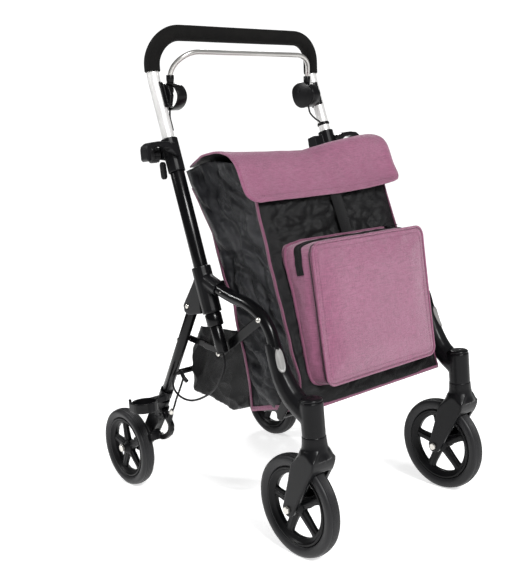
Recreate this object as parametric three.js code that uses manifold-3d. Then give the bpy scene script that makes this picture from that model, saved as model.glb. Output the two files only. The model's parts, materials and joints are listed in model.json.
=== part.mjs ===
// Folding shopping rollator: aluminium frame on four wheels, height-adjustable bow handle with a
// squeeze brake bar, and a fabric shopping bag with a front pocket and a rear pouch.
// Millimetres, +Z up. The walker drives towards -Y and "right" (-X) is the pusher's right hand.
// Every part is laid out with y measured from the front wheel axle, and the whole walker is then
// moved so that the origin is below the middle of its bounding box.
import * as THREE from 'three';
import { mergeVertices } from 'three/addons/utils/BufferGeometryUtils.js';
import Module from 'manifold-3d';

const wasm = await Module();
wasm.setup();

// ---- driving dimensions ----------------------------------------------------------------------
const AXLE_TO_ORIGIN = -279.5;
const GAP = 0.3;

const FRONT_WHEEL = { radius: 95, width: 28, x: 204 };
const REAR_WHEEL = { radius: 89, width: 30, x: 218.5 };
const WHEELBASE = 565;
const CASTER_TRAIL = 54;

const TUBE_X = 212;
const TUBE_LEAN = THREE.MathUtils.degToRad(15.1);
const TUBE_TOP = { y: 344.4, z: 978 };
const OUTER_TUBE = { radius: 14, bore: 12.9, from: 226, to: 592 };
const STEP_RING = { radius: 16, from: 568 };
const TAIL_TUBE = { radius: 11.5, bore: 9.5, to: 645 };
const SLIDE_TUBE = { radius: 12, bore: 10, end: 400 };
const COLLAR = { radius: 17, from: 220, to: 287 };

const GRIP = { radius: 15.5, from: 104, foam: 20, bend: 60.4, rise: 95.5, lean: -0.267, bendTo: 50 };
const BRAKE_BOW = {
  x: 183.5, y: 304.1, z: 885, radius: 5, bend: 53, rise: 53.7, lean0: -0.13, lean1: -0.693,
};

const LEG_PIVOT = { y: 264, z: 440 };
const LEG_TOP_X = 206;
const LEG_FOOT = { x: 188, y: 457, z: 192 };
const LEG_RADIUS = 11;
const STAY = { y: 210, z: 346, length: 58.2, leg: 100 };

const BAG_HALF = 176;
const WALL = 3.5;

const BLACK = { color: 0x1c1c1e, roughness: 0.55, metalness: 0.1 };
const BLACK_METAL = { color: 0x17171a, roughness: 0.35, metalness: 0.6 };
const SILVER = { color: 0xd9d8d4, roughness: 0.3, metalness: 0.9 };
const STEEL = { color: 0x9c9a95, roughness: 0.3, metalness: 1.0 };
const RUBBER = { color: 0x202022, roughness: 0.8, metalness: 0.0 };
const NYLON = { color: 0x2a2b30, roughness: 0.7, metalness: 0.0 };
const MAUVE = { color: 0xa8708e, roughness: 0.85, metalness: 0.0 };
const FOAM = { color: 0x1b1a19, roughness: 0.95, metalness: 0.0 };

// ---- geometry helpers ------------------------------------------------------------------------
const V = (x, y, z) => new THREE.Vector3(x, y, z);

function signedVolume(position, index) {
  let sum = 0;
  const a = new THREE.Vector3();
  const b = new THREE.Vector3();
  const c = new THREE.Vector3();
  for (let i = 0; i < index.length; i += 3) {
    a.fromBufferAttribute(position, index[i]);
    b.fromBufferAttribute(position, index[i + 1]);
    c.fromBufferAttribute(position, index[i + 2]);
    sum += a.dot(b.cross(c));
  }
  return sum;
}

// A closed geometry as a manifold solid, with its faces turned outwards.
function solid(geometry) {
  const bare = geometry.clone();
  for (const name of Object.keys(bare.attributes)) {
    if (name !== 'position') bare.deleteAttribute(name);
  }
  const merged = mergeVertices(bare, 1e-3);
  const index = Uint32Array.from(merged.index.array);
  if (signedVolume(merged.attributes.position, index) < 0) {
    for (let i = 0; i < index.length; i += 3) [index[i], index[i + 1]] = [index[i + 1], index[i]];
  }
  const vertProperties = Float32Array.from(merged.attributes.position.array);
  return new wasm.Manifold(new wasm.Mesh({ numProp: 3, vertProperties, triVerts: index }));
}

const join = (...solids) => solids.reduce((sum, next) => sum.add(next));
const cut = (base, ...tools) => tools.reduce((rest, tool) => rest.subtract(tool), base);

function toGeometry(manifold) {
  const { vertProperties, triVerts } = manifold.getMesh();
  const geometry = new THREE.BufferGeometry();
  geometry.setAttribute('position', new THREE.BufferAttribute(vertProperties, 3));
  geometry.setIndex(new THREE.BufferAttribute(triVerts, 1));
  geometry.computeVertexNormals();
  return geometry;
}

const walker = new THREE.Group();
walker.position.y = AXLE_TO_ORIGIN;

function add(name, manifold, look) {
  const mesh = new THREE.Mesh(toGeometry(manifold), new THREE.MeshStandardMaterial(look));
  mesh.name = name;
  walker.add(mesh);
}

// A regular polygon whose corners lie on the radius.
function ringPoints(radius, sides) {
  return Array.from({ length: sides }, (_, i) => {
    const angle = (i / sides) * Math.PI * 2;
    return new THREE.Vector2(radius * Math.cos(angle), radius * Math.sin(angle));
  });
}

// A bar or tube of constant section along a curve. The bore is the hole's corner radius.
function sweep(curve, { radius, bore = 0, sides = 12, boreSides = sides, steps = 24 }) {
  const shape = new THREE.Shape(ringPoints(radius, sides));
  if (bore > 0) shape.holes.push(new THREE.Path(ringPoints(bore, boreSides)));
  return solid(new THREE.ExtrudeGeometry(shape, { steps, extrudePath: curve }));
}

const rod = (from, to, radius, sides = 16, bore = 0) =>
  sweep(new THREE.LineCurve3(from, to), { radius, bore, sides, steps: 1 });

// A bar along a curve whose radius changes from end to end.
function taperedSweep(curve, radiusAt, sides, steps) {
  const geometry = new THREE.CylinderGeometry(1, 1, 1, sides, steps);
  const frames = curve.computeFrenetFrames(steps);
  const position = geometry.attributes.position;
  for (let i = 0; i < position.count; i += 1) {
    const t = 0.5 - position.getY(i);
    const step = Math.round(t * steps);
    const radius = radiusAt(t);
    const point = curve.getPointAt(t);
    point.addScaledVector(frames.normals[step], position.getX(i) * radius);
    point.addScaledVector(frames.binormals[step], position.getZ(i) * radius);
    position.setXYZ(i, point.x, point.y, point.z);
  }
  return solid(geometry);
}

// An outline of [y, z] pairs (or a THREE.Shape in y and z) made solid between two x values.
function slab(outline, x0, x1, curveSegments = 8) {
  const shape = outline instanceof THREE.Shape ? outline : new THREE.Shape(
    outline.map(([y, z]) => new THREE.Vector2(y, z)),
  );
  const low = Math.min(x0, x1);
  const geometry = new THREE.ExtrudeGeometry(
    shape, { depth: Math.abs(x1 - x0), bevelEnabled: false, curveSegments },
  );
  geometry.applyMatrix4(new THREE.Matrix4().makeBasis(V(0, 1, 0), V(0, 0, 1), V(1, 0, 0)));
  geometry.translate(low, 0, 0);
  return solid(geometry);
}

// A profile of [radius, offset] pairs turned about a line through the centre along +X, with a flat
// facet at the bottom. The radii are those of the facets.
function turned(profile, centre, segments) {
  const points = profile.map(([r, h]) => new THREE.Vector2(r / Math.cos(Math.PI / segments), h));
  const geometry = new THREE.LatheGeometry(points, segments);
  geometry.rotateY(Math.PI / segments);
  geometry.rotateZ(-Math.PI / 2);
  geometry.translate(centre.x, centre.y, centre.z);
  return solid(geometry);
}

function box(x0, x1, y0, y1, z0, z1) {
  const geometry = new THREE.BoxGeometry(Math.abs(x1 - x0), Math.abs(y1 - y0), Math.abs(z1 - z0));
  geometry.translate((x0 + x1) / 2, (y0 + y1) / 2, (z0 + z1) / 2);
  return solid(geometry);
}

// An outline of [x, z] pairs made solid between two y values.
function frontSlab(outline, y0, y1) {
  const shape = new THREE.Shape(outline.map(([x, z]) => new THREE.Vector2(x, z)));
  const geometry = new THREE.ExtrudeGeometry(shape, { depth: y1 - y0, bevelEnabled: false });
  geometry.applyMatrix4(new THREE.Matrix4().makeBasis(V(1, 0, 0), V(0, 0, 1), V(0, -1, 0)));
  geometry.translate(0, y1, 0);
  return solid(geometry);
}

// The outline moved inwards by a distance, for a counter-clockwise list of points.
function inset(outline, distance) {
  return outline.map((point, i) => {
    const before = new THREE.Vector2(...outline[(i + outline.length - 1) % outline.length]);
    const here = new THREE.Vector2(...point);
    const after = new THREE.Vector2(...outline[(i + 1) % outline.length]);
    const inA = here.clone().sub(before).normalize();
    const inB = after.clone().sub(here).normalize();
    const normal = new THREE.Vector2(-inA.y - inB.y, inA.x + inB.x).normalize();
    const miter = distance / Math.max(0.5, normal.dot(new THREE.Vector2(-inA.y, inA.x)));
    return [point[0] + normal.x * miter, point[1] + normal.y * miter];
  });
}

// A point on the leaning handle tube, by its distance down from the tube's upper corner.
function onTube(side, distance) {
  return V(
    side * TUBE_X, TUBE_TOP.y - Math.sin(TUBE_LEAN) * distance,
    TUBE_TOP.z - Math.cos(TUBE_LEAN) * distance,
  );
}

// A point on the rear leg, by its distance down from its pivot.
function onLeg(side, distance) {
  const top = V(side * LEG_TOP_X, LEG_PIVOT.y, LEG_PIVOT.z);
  const foot = V(side * LEG_FOOT.x, LEG_FOOT.y, LEG_FOOT.z);
  return top.add(foot.sub(top).normalize().multiplyScalar(distance));
}

// A flat bow laid out in a sheet whose lean changes from lean0 to lean1, as a curve from the right
// foot over the top to the left foot. heights are measured along the sheet from the base.
function bowCurve({ halfWidth, bend, rise, base, lean0, lean1, bendFrom, bendTo, legs }) {
  const place = (x, height) => {
    const steps = 24;
    let { y, z } = base;
    for (let i = 0; i < steps; i += 1) {
      const middle = ((i + 0.5) / steps) * height;
      const turn = THREE.MathUtils.clamp((middle - bendFrom) / (bendTo - bendFrom), 0, 1);
      const lean = lean0 + (lean1 - lean0) * turn;
      y += (Math.sin(lean) * height) / steps;
      z += (Math.cos(lean) * height) / steps;
    }
    return V(x, y, z);
  };
  const right = legs.map((height) => [-halfWidth, height]);
  const arcSteps = 6;
  for (let i = 0; i <= arcSteps; i += 1) {
    const angle = (i / arcSteps) * (Math.PI / 2);
    right.push([-halfWidth + bend * (1 - Math.cos(angle)), rise - bend * (1 - Math.sin(angle))]);
  }
  const left = right.map(([x, height]) => [-x, height]).reverse();
  const top = [[-40, rise], [40, rise]];
  return new THREE.CatmullRomCurve3(
    [...right, ...top, ...left].map(([x, h]) => place(x, h)), false, 'centripetal',
  );
}

const sides = [['right', -1], ['left', 1]];

// ---- handle ----------------------------------------------------------------------------------
const handleBow = (legs) => bowCurve({
  halfWidth: TUBE_X, bend: GRIP.bend, rise: GRIP.rise, base: onTube(1, GRIP.from),
  lean0: TUBE_LEAN, lean1: GRIP.lean, bendFrom: 0, bendTo: GRIP.bendTo, legs,
});

function handle() {
  const inTube = GRIP.from - SLIDE_TUBE.end;
  const legs = [inTube, inTube * 0.75, inTube * 0.5, inTube * 0.25, -20, 0, 15, 28];
  const bow = handleBow(legs);
  const tube = { radius: SLIDE_TUBE.radius, sides: 10, steps: 44 };
  add('handle_tube', sweep(bow, { ...tube, bore: SLIDE_TUBE.bore, boreSides: 6 }), SILVER);
  const grip = sweep(handleBow([GRIP.foam, 28]), { radius: GRIP.radius, sides: 10, steps: 26 });
  add('foam_grip', cut(grip, sweep(bow, { ...tube, radius: SLIDE_TUBE.radius + GAP })), FOAM);
}

// Clamp on the handle tube that carries the brake bar's pivot on its inner face.
const BRAKE_PIVOT = { y: 321.2, z: 863.2 };
const LEVER = { y: 305, z: 848.5, inner: 169, outer: 191 };

function brakeHousing(name, side) {
  const sleeve = rod(onTube(side, 108), onTube(side, 160), 15.5, 12);
  const inboard = box(side * 150, side * TUBE_X, 270, 370, 790, 900);
  const cheek = new THREE.Shape();
  cheek.ellipse(LEVER.y + 4, LEVER.z, 25, 26, 0, Math.PI * 2, false, 0);
  const plate = slab(cheek, side * 192, side * 200, 4);
  const pin = turned([[0, 0], [4, 0], [4, 19], [0, 19]].map(([r, h]) => [r, -side * h]),
    V(side * 192.5, BRAKE_PIVOT.y, BRAKE_PIVOT.z), 10);
  const bore = rod(onTube(side, 90), onTube(side, 180), SLIDE_TUBE.radius + 2 * GAP, 10);
  add(name, join(cut(join(sleeve.intersect(inboard), plate), bore), pin), BLACK);
}

// Egg-shaped loop lever with a socket for the brake bow. The left one is closed by a cover disc.
function eggShape(grow) {
  const shape = new THREE.Shape();
  shape.moveTo(LEVER.y + 33 + grow, LEVER.z + 8);
  shape.bezierCurveTo(
    LEVER.y + 34 + grow, LEVER.z + 32 + grow, LEVER.y - 22 - grow, LEVER.z + 36 + grow,
    LEVER.y - 33 - grow, LEVER.z + 2,
  );
  shape.bezierCurveTo(
    LEVER.y - 38 - grow, LEVER.z - 28 - grow, LEVER.y + 32 + grow, LEVER.z - 46 - grow,
    LEVER.y + 33 + grow, LEVER.z + 8,
  );
  return shape;
}

function brakeLever(name, side, closed) {
  const { inner, outer } = LEVER;
  const rim = slab(eggShape(0), side * inner, side * outer, 7);
  const window = slab(eggShape(-4.5), side * (inner + (closed ? 3 : -5)), side * (outer + 5), 7);
  const boss = turned([[0, 0], [9, 0], [9, 20], [0, 20]].map(([r, h]) => [r, -side * h]),
    V(side * (outer - 0.5), BRAKE_PIVOT.y, BRAKE_PIVOT.z), 14);
  const arm = box(
    side * (inner + 1), side * (outer - 1), BRAKE_PIVOT.y - 4, BRAKE_PIVOT.y + 16, BRAKE_PIVOT.z - 5,
    BRAKE_PIVOT.z + 5,
  );
  const armInRim = arm.intersect(rim);
  const onBow = (height) => {
    const { x, y, z, lean0 } = BRAKE_BOW;
    return V(side * x, y + Math.sin(lean0) * height, z + Math.cos(lean0) * height);
  };
  const socket = rod(onBow(-17), onBow(5), 7.5, 12);
  const socketBore = rod(onBow(0.4), onBow(10), 6, 10);
  const pinBore = turned(
    [[0, -40], [4.3, -40], [4.3, 40], [0, 40]], V(side * 181, BRAKE_PIVOT.y, BRAKE_PIVOT.z), 10,
  );
  const cavity = cut(window, join(boss, armInRim));
  const body = cut(join(rim, socket), cavity, socketBore);
  const behindCover = box(side * (inner + 3), side * 230, 280, 360, 830, 900);
  add(name, cut(body, closed ? pinBore.intersect(behindCover) : pinBore), BLACK);
}

function brakeBow() {
  const curve = bowCurve({
    halfWidth: BRAKE_BOW.x, bend: BRAKE_BOW.bend, rise: BRAKE_BOW.rise, base: BRAKE_BOW,
    lean0: BRAKE_BOW.lean0, lean1: BRAKE_BOW.lean1, bendFrom: -10, bendTo: 30, legs: [0.7],
  });
  add('brake_bow', sweep(curve, { radius: BRAKE_BOW.radius, sides: 8, steps: 28 }), SILVER);
}

// ---- upper frame -----------------------------------------------------------------------------
function mainTube(name, side) {
  const { radius, bore, from, to } = OUTER_TUBE;
  const upper = rod(onTube(side, from), onTube(side, to), radius, 14);
  const ring = rod(onTube(side, STEP_RING.from), onTube(side, to), STEP_RING.radius, 14);
  const tail = rod(onTube(side, to - 2), onTube(side, TAIL_TUBE.to), TAIL_TUBE.radius, 14);
  const slideBore = rod(onTube(side, from - 10), onTube(side, to - 12), bore, 14);
  const tailBore = rod(onTube(side, to - 14), onTube(side, TAIL_TUBE.to + 10), TAIL_TUBE.bore, 12);
  add(name, cut(join(upper, ring, tail), slideBore, tailBore), BLACK_METAL);
}

const KNOB = { y: 302, z: 738, from: 233, to: 249, radius: 16 };

// Collar over the top of the main tube, with a boss behind it for the clamp knob.
function handleCollar(name, side, lugged) {
  const sleeve = rod(onTube(side, COLLAR.from), onTube(side, COLLAR.to), COLLAR.radius, 14);
  const boss = slab([[280, 725], [305, 728], [312, 738], [305, 748], [284, 756]], side * 206, side * 232);
  const slideBore = rod(onTube(side, 200), onTube(side, 300), SLIDE_TUBE.radius + 2 * GAP, 10);
  const tubeBore = rod(
    onTube(side, OUTER_TUBE.from - GAP), onTube(side, 300), OUTER_TUBE.radius + GAP, 14,
  );
  const lug = slab([[272, 727], [300, 727], [303, 752], [281, 757]], side * 170, side * 206);
  add(name, cut(lugged ? join(sleeve, boss, lug) : join(sleeve, boss), slideBore, tubeBore), BLACK);
}

// Ribbed hand knob that clamps the handle at its height.
function heightKnob(name, side) {
  const { from, to, radius } = KNOB;
  const rib = 1.4;
  const profile = [[0, 0], [radius - 2, 0], [radius, 2]];
  for (let offset = 4; offset < to - from - 3; offset += 4) {
    profile.push([radius - rib, offset], [radius, offset + 2]);
  }
  profile.push([radius - 3, to - from], [0, to - from]);
  const placed = profile.map(([r, h]) => [r, side * h]);
  add(name, turned(placed, V(side * from, KNOB.y, KNOB.z), 16), BLACK);
}

// Arched hook beside the collar that holds a walking cane upright.
function caneHook(name, side) {
  const arch = [
    [214, 748], [221, 755], [234, 759], [258, 761], [276, 759], [285, 753], [287, 745], [287, 728],
    [283, 724],
    [278, 727], [278, 742], [274, 749], [256, 752], [240, 750], [230, 744], [222, 734], [214, 730],
  ].map(([x, z]) => [side * x, z]);
  const hook = frontSlab(side > 0 ? arch.reverse() : arch, 252, 276);
  const clear = rod(onTube(side, 190), onTube(side, 310), COLLAR.radius + GAP, 14);
  add(name, cut(hook, clear), BLACK);
}

// Small lever that hangs from the collar and releases the fold.
const FOLD_LEVER = { x: 232, y: 287, z: 716 };

function foldLever() {
  const { x, y, z } = FOLD_LEVER;
  const outline = new THREE.Shape();
  outline.absarc(y, z, 7, 0, Math.PI, false);
  outline.lineTo(y - 8, z - 18);
  outline.absarc(y - 1, z - 20, 7, Math.PI, Math.PI * 2, false);
  add('fold_lever', slab(outline, -x - 3.5, -x + 3.5, 6), BLACK);
}

// Casting that joins the main tube, the side arch and the rear leg's clevis.
function sideCasting(name, side) {
  const sleeve = rod(onTube(side, 476), onTube(side, 567), 19, 14);
  const branch = rod(V(side * TUBE_X, 214, 497), V(side * TUBE_X, 168, 477.5), 15, 12);
  const web = slab(
    [[222, 512], [240, 486], [268, 454], [279, 441], [277, 428], [264, 422], [220, 428]], side * 189,
    side * 223,
  );
  const legSlot = slab(
    [[238, 456], [262, 456], [284, 470], [300, 400], [238, 400]], side * 194, side * 218,
  );
  const pinBore = turned(
    [[0, -60], [4.4, -60], [4.4, 60], [0, 60]], V(side * 206, LEG_PIVOT.y, LEG_PIVOT.z), 8,
  );
  const tubeBore = rod(onTube(side, 460), onTube(side, 590), OUTER_TUBE.radius + GAP, 14);
  const archBore = sweep(archCurve(side), { ...ARCH, radius: ARCH.radius + GAP });
  add(name, cut(join(sleeve, branch, web), legSlot, pinBore, tubeBore, archBore), BLACK);
}

const ARCH = { radius: 11.5, sides: 10, steps: 13 };

function archCurve(side) {
  return new THREE.CatmullRomCurve3([
    V(side * TUBE_X, 190, 487), V(side * TUBE_X, 166, 477), V(side * TUBE_X, 129, 465),
    V(side * TUBE_X, 85, 454),
    V(side * TUBE_X, 51, 436), V(side * TUBE_X, 30, 411), V(side * TUBE_X, 20, 378),
  ], false, 'centripetal');
}

function archTube(name, side) {
  add(name, sweep(archCurve(side), ARCH), BLACK_METAL);
}

// Flat brace from the main tube's lower end to the middle of the arch.
function sideBrace(name, side) {
  const outline = [[204, 338], [216, 341], [216, 354], [74, 436], [62, 434], [60, 422]];
  add(name, slab(outline, side * 192.5, side * 196.5), BLACK_METAL);
}

// Caster post, and the thick curved arm that rises from it to the side arch.
const POST = { y: -CASTER_TRAIL, low: 232.4, high: 296, radius: 21 };

function frontCasting(name, side) {
  const arm = new THREE.CatmullRomCurve3([
    V(side * TUBE_X, 27, 391), V(side * 211.5, 20, 366), V(side * 210, 9, 330), V(side * 207, -12, 296),
    V(side * 204, -46, 270),
  ], false, 'centripetal');
  const swell = (t) => 14.5 + 6.5 * Math.sin(Math.min(1, t * 1.15) * Math.PI * 0.5);
  const post = rod(V(side * 204, POST.y, POST.low), V(side * 204, POST.y, POST.high), POST.radius, 16);
  const stemBore = rod(V(side * 204, POST.y, 200), V(side * 204, POST.y, 286), 8.6, 10);
  const archBore = sweep(archCurve(side), { ...ARCH, radius: ARCH.radius + GAP });
  const below = box(side * 150, side * 260, -200, 100, 180, POST.low);
  const lugRoom = slab(CROSS_LUG, side * (194 - GAP), side * (198 + GAP));
  add(
    name, cut(join(cut(taperedSweep(arm, swell, 12, 7), below), post), stemBore, archBore, lugRoom),
    BLACK,
  );
}

// Bar under the bag's front edge, hung from the two castings by lugs.
const CROSS_LUG = [[34, 244], [42, 240], [50, 244], [50, 256], [16, 306], [-6, 300], [2, 286]];

function crossMembers() {
  const bar = rod(V(-196, 42, 249), V(196, 42, 249), 6, 10);
  const lugs = sides.map(([, side]) => slab(CROSS_LUG, side * 194.3, side * 197.7));
  add('front_cross_bar', join(bar, ...lugs), BLACK_METAL);
  add('rear_cross_tube', rod(V(-188.6, 243, 472), V(188.6, 243, 472), 9, 12), BLACK_METAL);
}

// ---- bag -------------------------------------------------------------------------------------
const BAG_FRONT = [
  [-12, 264], [12, 339], [32, 406], [61, 506], [80, 575], [97, 640], [112, 690], [122, 704],
];
const BAG_OUTLINE = [
  [-12, 264], [66, 258], [147, 237], [150, 290], [156, 347], [170, 398], [174, 445], [200, 492],
  [214, 544],
  [222, 581], [268, 672], [280, 700], ...BAG_FRONT.slice(1).reverse(),
];
const BULGE = { depth: 24, power: 6, fade: 60, flare: 13, reach: 157 };

// The front panel's y at a height, at the panel's stiff side edges.
function frontAt(z) {
  const above = BAG_FRONT.findIndex(([, high]) => high > z);
  if (above <= 0) return BAG_FRONT[above === 0 ? 0 : BAG_FRONT.length - 1][0];
  const [y0, z0] = BAG_FRONT[above - 1];
  const [y1, z1] = BAG_FRONT[above];
  return y0 + ((y1 - y0) * (z - z0)) / (z1 - z0);
}

// How far the filled bag's front panel stands forward of its side edges.
function bulgeAt(x, z) {
  const upright = Math.sin(Math.PI * THREE.MathUtils.clamp((z - 264) / 440, 0, 1));
  return BULGE.depth * Math.sqrt(upright) * (1 - Math.min(1, Math.abs(x) / BAG_HALF) ** BULGE.power);
}

// A fabric body: an outline of [y, z] pairs between two x values, then shaped point by point.
function softBody(outline, half, shapePoint) {
  const shape = new THREE.Shape(outline.map(([y, z]) => new THREE.Vector2(y, z)));
  const geometry = new THREE.ExtrudeGeometry(shape, { depth: half * 2, bevelEnabled: false, steps: 8 });
  geometry.applyMatrix4(new THREE.Matrix4().makeBasis(V(0, 1, 0), V(0, 0, 1), V(1, 0, 0)));
  geometry.translate(-half, 0, 0);
  const position = geometry.attributes.position;
  for (let i = 0; i < position.count; i += 1) {
    const point = shapePoint(V(position.getX(i), position.getY(i), position.getZ(i)));
    position.setXYZ(i, point.x, point.y, point.z);
  }
  return solid(geometry);
}

function bagShape({ x, y, z }) {
  const seam = 97 + ((640 - z) * 50) / 395;
  const flare = Math.max(0, (seam - y) * (BULGE.flare / BULGE.reach));
  const share = THREE.MathUtils.clamp(1 - (y - frontAt(z) - 6) / BULGE.fade, 0, 1);
  return V(x * (1 + flare / BAG_HALF), y - bulgeAt(x, z) * share, z);
}

function bagBody() {
  const hollow = inset(BAG_OUTLINE, WALL);
  hollow[11] = [284, 716];
  hollow[12] = [124, 716];
  const shell = softBody(BAG_OUTLINE, BAG_HALF, bagShape);
  add('bag_body', cut(shell, softBody(hollow, BAG_HALF - WALL, bagShape)), NYLON);
}

function rearPouch() {
  const outline = [
    [153, 242], [212, 224], [290, 241], [334, 243], [346, 256], [334, 338], [292, 391], [174, 391],
    [171.5, 384],
    [158, 347], [152, 290],
  ];
  const hollow = inset(outline, WALL);
  hollow[6] = [290, 400];
  hollow[7] = [178, 400];
  add(
    'rear_pouch',
    cut(slab(outline, -BAG_HALF, BAG_HALF), slab(hollow, -BAG_HALF + WALL, BAG_HALF - WALL)), NYLON,
  );
}

function frontPocket() {
  const outline = [
    [-43, 308], [-38, 303], [-1, 303], [9, 339], [29, 406], [58, 506], [72, 556], [-22, 558], [-27, 553],
  ];
  const shapePoint = ({ x, y, z }) => V(x, y > frontAt(z) - 12 ? frontAt(z) - bulgeAt(x, z) - 3 : y, z);
  const hollow = inset(outline, WALL).map(([y, z], i) => (i < 2 || i > 6 ? [y, z] : [y + 30, z]));
  add(
    'front_pocket',
    cut(softBody(outline, 149, shapePoint), softBody(hollow, 149 - WALL, (point) => point)), MAUVE,
  );
}

// Zip slider on the pocket's top seam.
function zipPull() {
  const rise = 558.6;
  const body = box(96, 108, 18, 26, rise, rise + 4);
  const tab = box(101, 130, 20, 24, rise + 2.5, rise + 4);
  add('zip_pull', join(body, tab), BLACK);
}

// Lid of the bag: a sheet that arches over the mouth, dips along its middle and hangs down in front.
const FLAP = {
  half: 197, rearHalf: 172, thickness: 3, dip: 30, dipEnd: 0.62, leftCrest: 17, leftDrop: 12,
  notchHalf: 166, notchEnd: 0.22,
};

// How far the lid sags between its sides over the bag's mouth.
function middleDip(share, t) {
  if (t >= FLAP.dipEnd) return 0;
  return FLAP.dip * (1 - share ** 2) ** 1.5 * Math.sin((Math.PI * t) / FLAP.dipEnd) ** 2;
}

// How far the lid's left half stands up, on the crest and further on along its front drop.
function leftRaise(share, t) {
  const left = Math.max(0, share);
  const crest = FLAP.leftCrest * Math.sin(0.62 * Math.PI * left);
  const drop = FLAP.leftDrop * left ** 2;
  return Math.min(1, t / 0.3) * THREE.MathUtils.lerp(
    crest, drop, THREE.MathUtils.smoothstep(t, 0.6, 0.8),
  );
}

function bagFlap() {
  const profile = new THREE.CatmullRomCurve3([
    V(0, 283, 708), V(0, 267, 712), V(0, 221, 722), V(0, 188, 728), V(0, 163, 730), V(0, 139, 726),
    V(0, 122, 719),
    V(0, 109, 707), V(0, 100, 691), V(0, 91, 667), V(0, 82, 650), V(0, 72, 636),
  ], false, 'centripetal');
  const geometry = new THREE.BoxGeometry(FLAP.half * 2, 1, FLAP.thickness, 10, 16, 1);
  const position = geometry.attributes.position;
  for (let i = 0; i < position.count; i += 1) {
    const x = position.getX(i);
    const t = 0.5 - position.getY(i);
    const point = profile.getPointAt(t);
    const along = profile.getTangentAt(t);
    const share = x / FLAP.half;
    const lift = position.getZ(i);
    const rearHalf = x > 0 ? FLAP.notchHalf : FLAP.rearHalf;
    const flare = x > 0 ? Math.max(0, (t - FLAP.notchEnd) / 0.12) : t / 0.3;
    const widen = THREE.MathUtils.lerp(rearHalf / FLAP.half, 1, Math.min(1, flare));
    const raise = leftRaise(share, t);
    const y = point.y - along.z * lift - raise;
    position.setXYZ(i, x * widen, y, point.z + along.y * lift + raise - middleDip(share, t));
  }
  add('bag_flap', solid(geometry), MAUVE);
}

// ---- front casters ---------------------------------------------------------------------------
function casterFork(name, side) {
  const x = side * FRONT_WHEEL.x;
  const axle = FRONT_WHEEL.radius;
  const outline = new THREE.Shape();
  outline.moveTo(-75, 232);
  outline.lineTo(-76, 212);
  outline.bezierCurveTo(-78, 196, -76, 180, -62, 164);
  outline.lineTo(-13, axle - 6);
  outline.absarc(0, axle, 14, -2.7, 0.6, false);
  outline.lineTo(-6, 150);
  outline.bezierCurveTo(-14, 178, -22, 196, -30, 212);
  outline.lineTo(-33, 232);
  const cheeks = slab(outline, x - 28, x + 28, 6);
  const crown = rod(V(x, POST.y, 190), V(x, POST.y, 232), 22, 16);
  const shoulders = [[0, 60], [90, 60], [90, 170], [46, 182], [31, 200], [24, 216], [22, 232], [0, 232]];
  const shoulderCone = solid(
    new THREE.LatheGeometry(shoulders.map(([r, z]) => new THREE.Vector2(r, z)), 20)
      .rotateX(Math.PI / 2).translate(x, POST.y, 0),
  );
  const topTrim = cut(
    box(x - 40, x + 40, -110, 20, 212, 240), rod(V(x, POST.y, 200), V(x, POST.y, 250), 21, 16),
  );
  const tyreRoom = rod(V(x - 18, 0, axle), V(x + 18, 0, axle), FRONT_WHEEL.radius + 6, 24);
  const axleBore = rod(V(x - 40, 0, axle), V(x + 40, 0, axle), 5.3, 8);
  const stem = rod(V(x, POST.y, 206), V(x, POST.y, 284), 8, 10);
  const fork = cut(join(cheeks, crown).intersect(shoulderCone), topTrim, tyreRoom, axleBore);
  add(name, join(fork, stem.intersect(box(x - 40, x + 40, -110, 20, 200, 284))), BLACK);
}

function hexHead(x0, x1, y, z, radius) {
  return rod(V(x0, y, z), V(x1, y, z), radius, 6);
}

function frontAxle(name, side) {
  const x = side * FRONT_WHEEL.x;
  const z = FRONT_WHEEL.radius;
  const shaft = rod(V(x - 32, 0, z), V(x + 32, 0, z), 5, 8);
  add(name, join(shaft, hexHead(x - 33, x - 28, 0, z, 7.5), hexHead(x + 28, x + 33, 0, z, 7.5)), STEEL);
}

// ---- wheels ----------------------------------------------------------------------------------
const RIM_SHARE = 0.775;
const WHEEL_SEGMENTS = 24;

function tyre(name, wheel, centre) {
  const { radius, width } = wheel;
  const half = width / 2;
  const inner = radius * RIM_SHARE;
  const profile = [
    [inner, -half * 0.72], [radius * 0.9, -half], [radius * 0.97, -half * 0.8], [radius, -half * 0.35],
    [radius, half * 0.35], [radius * 0.97, half * 0.8], [radius * 0.9, half], [inner, half * 0.72],
    [inner, -half * 0.72],
  ];
  add(name, turned(profile, centre, WHEEL_SEGMENTS), RUBBER);
}

function rim(name, wheel, centre, axleBore) {
  const { radius, width } = wheel;
  const half = width / 2;
  const outer = radius * RIM_SHARE - GAP;
  const lip = radius * 0.63;
  const bed = [
    [lip, -half * 0.45], [lip + 5, -half * 0.72], [outer, -half * 0.72], [outer, half * 0.72],
    [lip + 5, half * 0.72], [lip, half * 0.45], [lip, -half * 0.45],
  ];
  const hubProfile = [[0, -half - 1], [10, -half - 1], [14, 0], [10, half + 1], [0, half + 1]];
  const hub = turned(hubProfile, centre, 12);
  const bore = turned([[0, -60], [axleBore, -60], [axleBore, 60], [0, 60]], centre, 8);
  const spokes = Array.from({ length: 5 }, (_, i) => {
    const angle = (i / 5) * Math.PI * 2 + 0.2;
    const out = V(0, Math.cos(angle), Math.sin(angle));
    const across = V(0, -out.z, out.y);
    const outline = [[10, -8], [lip + 4, -5.5], [lip + 4, 5.5], [10, 8]]
      .map(([r, w]) => out.clone().multiplyScalar(r).addScaledVector(across, w).add(centre))
      .map((p) => [p.y, p.z]);
    return slab(outline, centre.x - half * 0.3, centre.x + half * 0.3);
  });
  add(name, cut(join(turned(bed, centre, WHEEL_SEGMENTS), hub, ...spokes), bore), BLACK);
}

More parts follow.
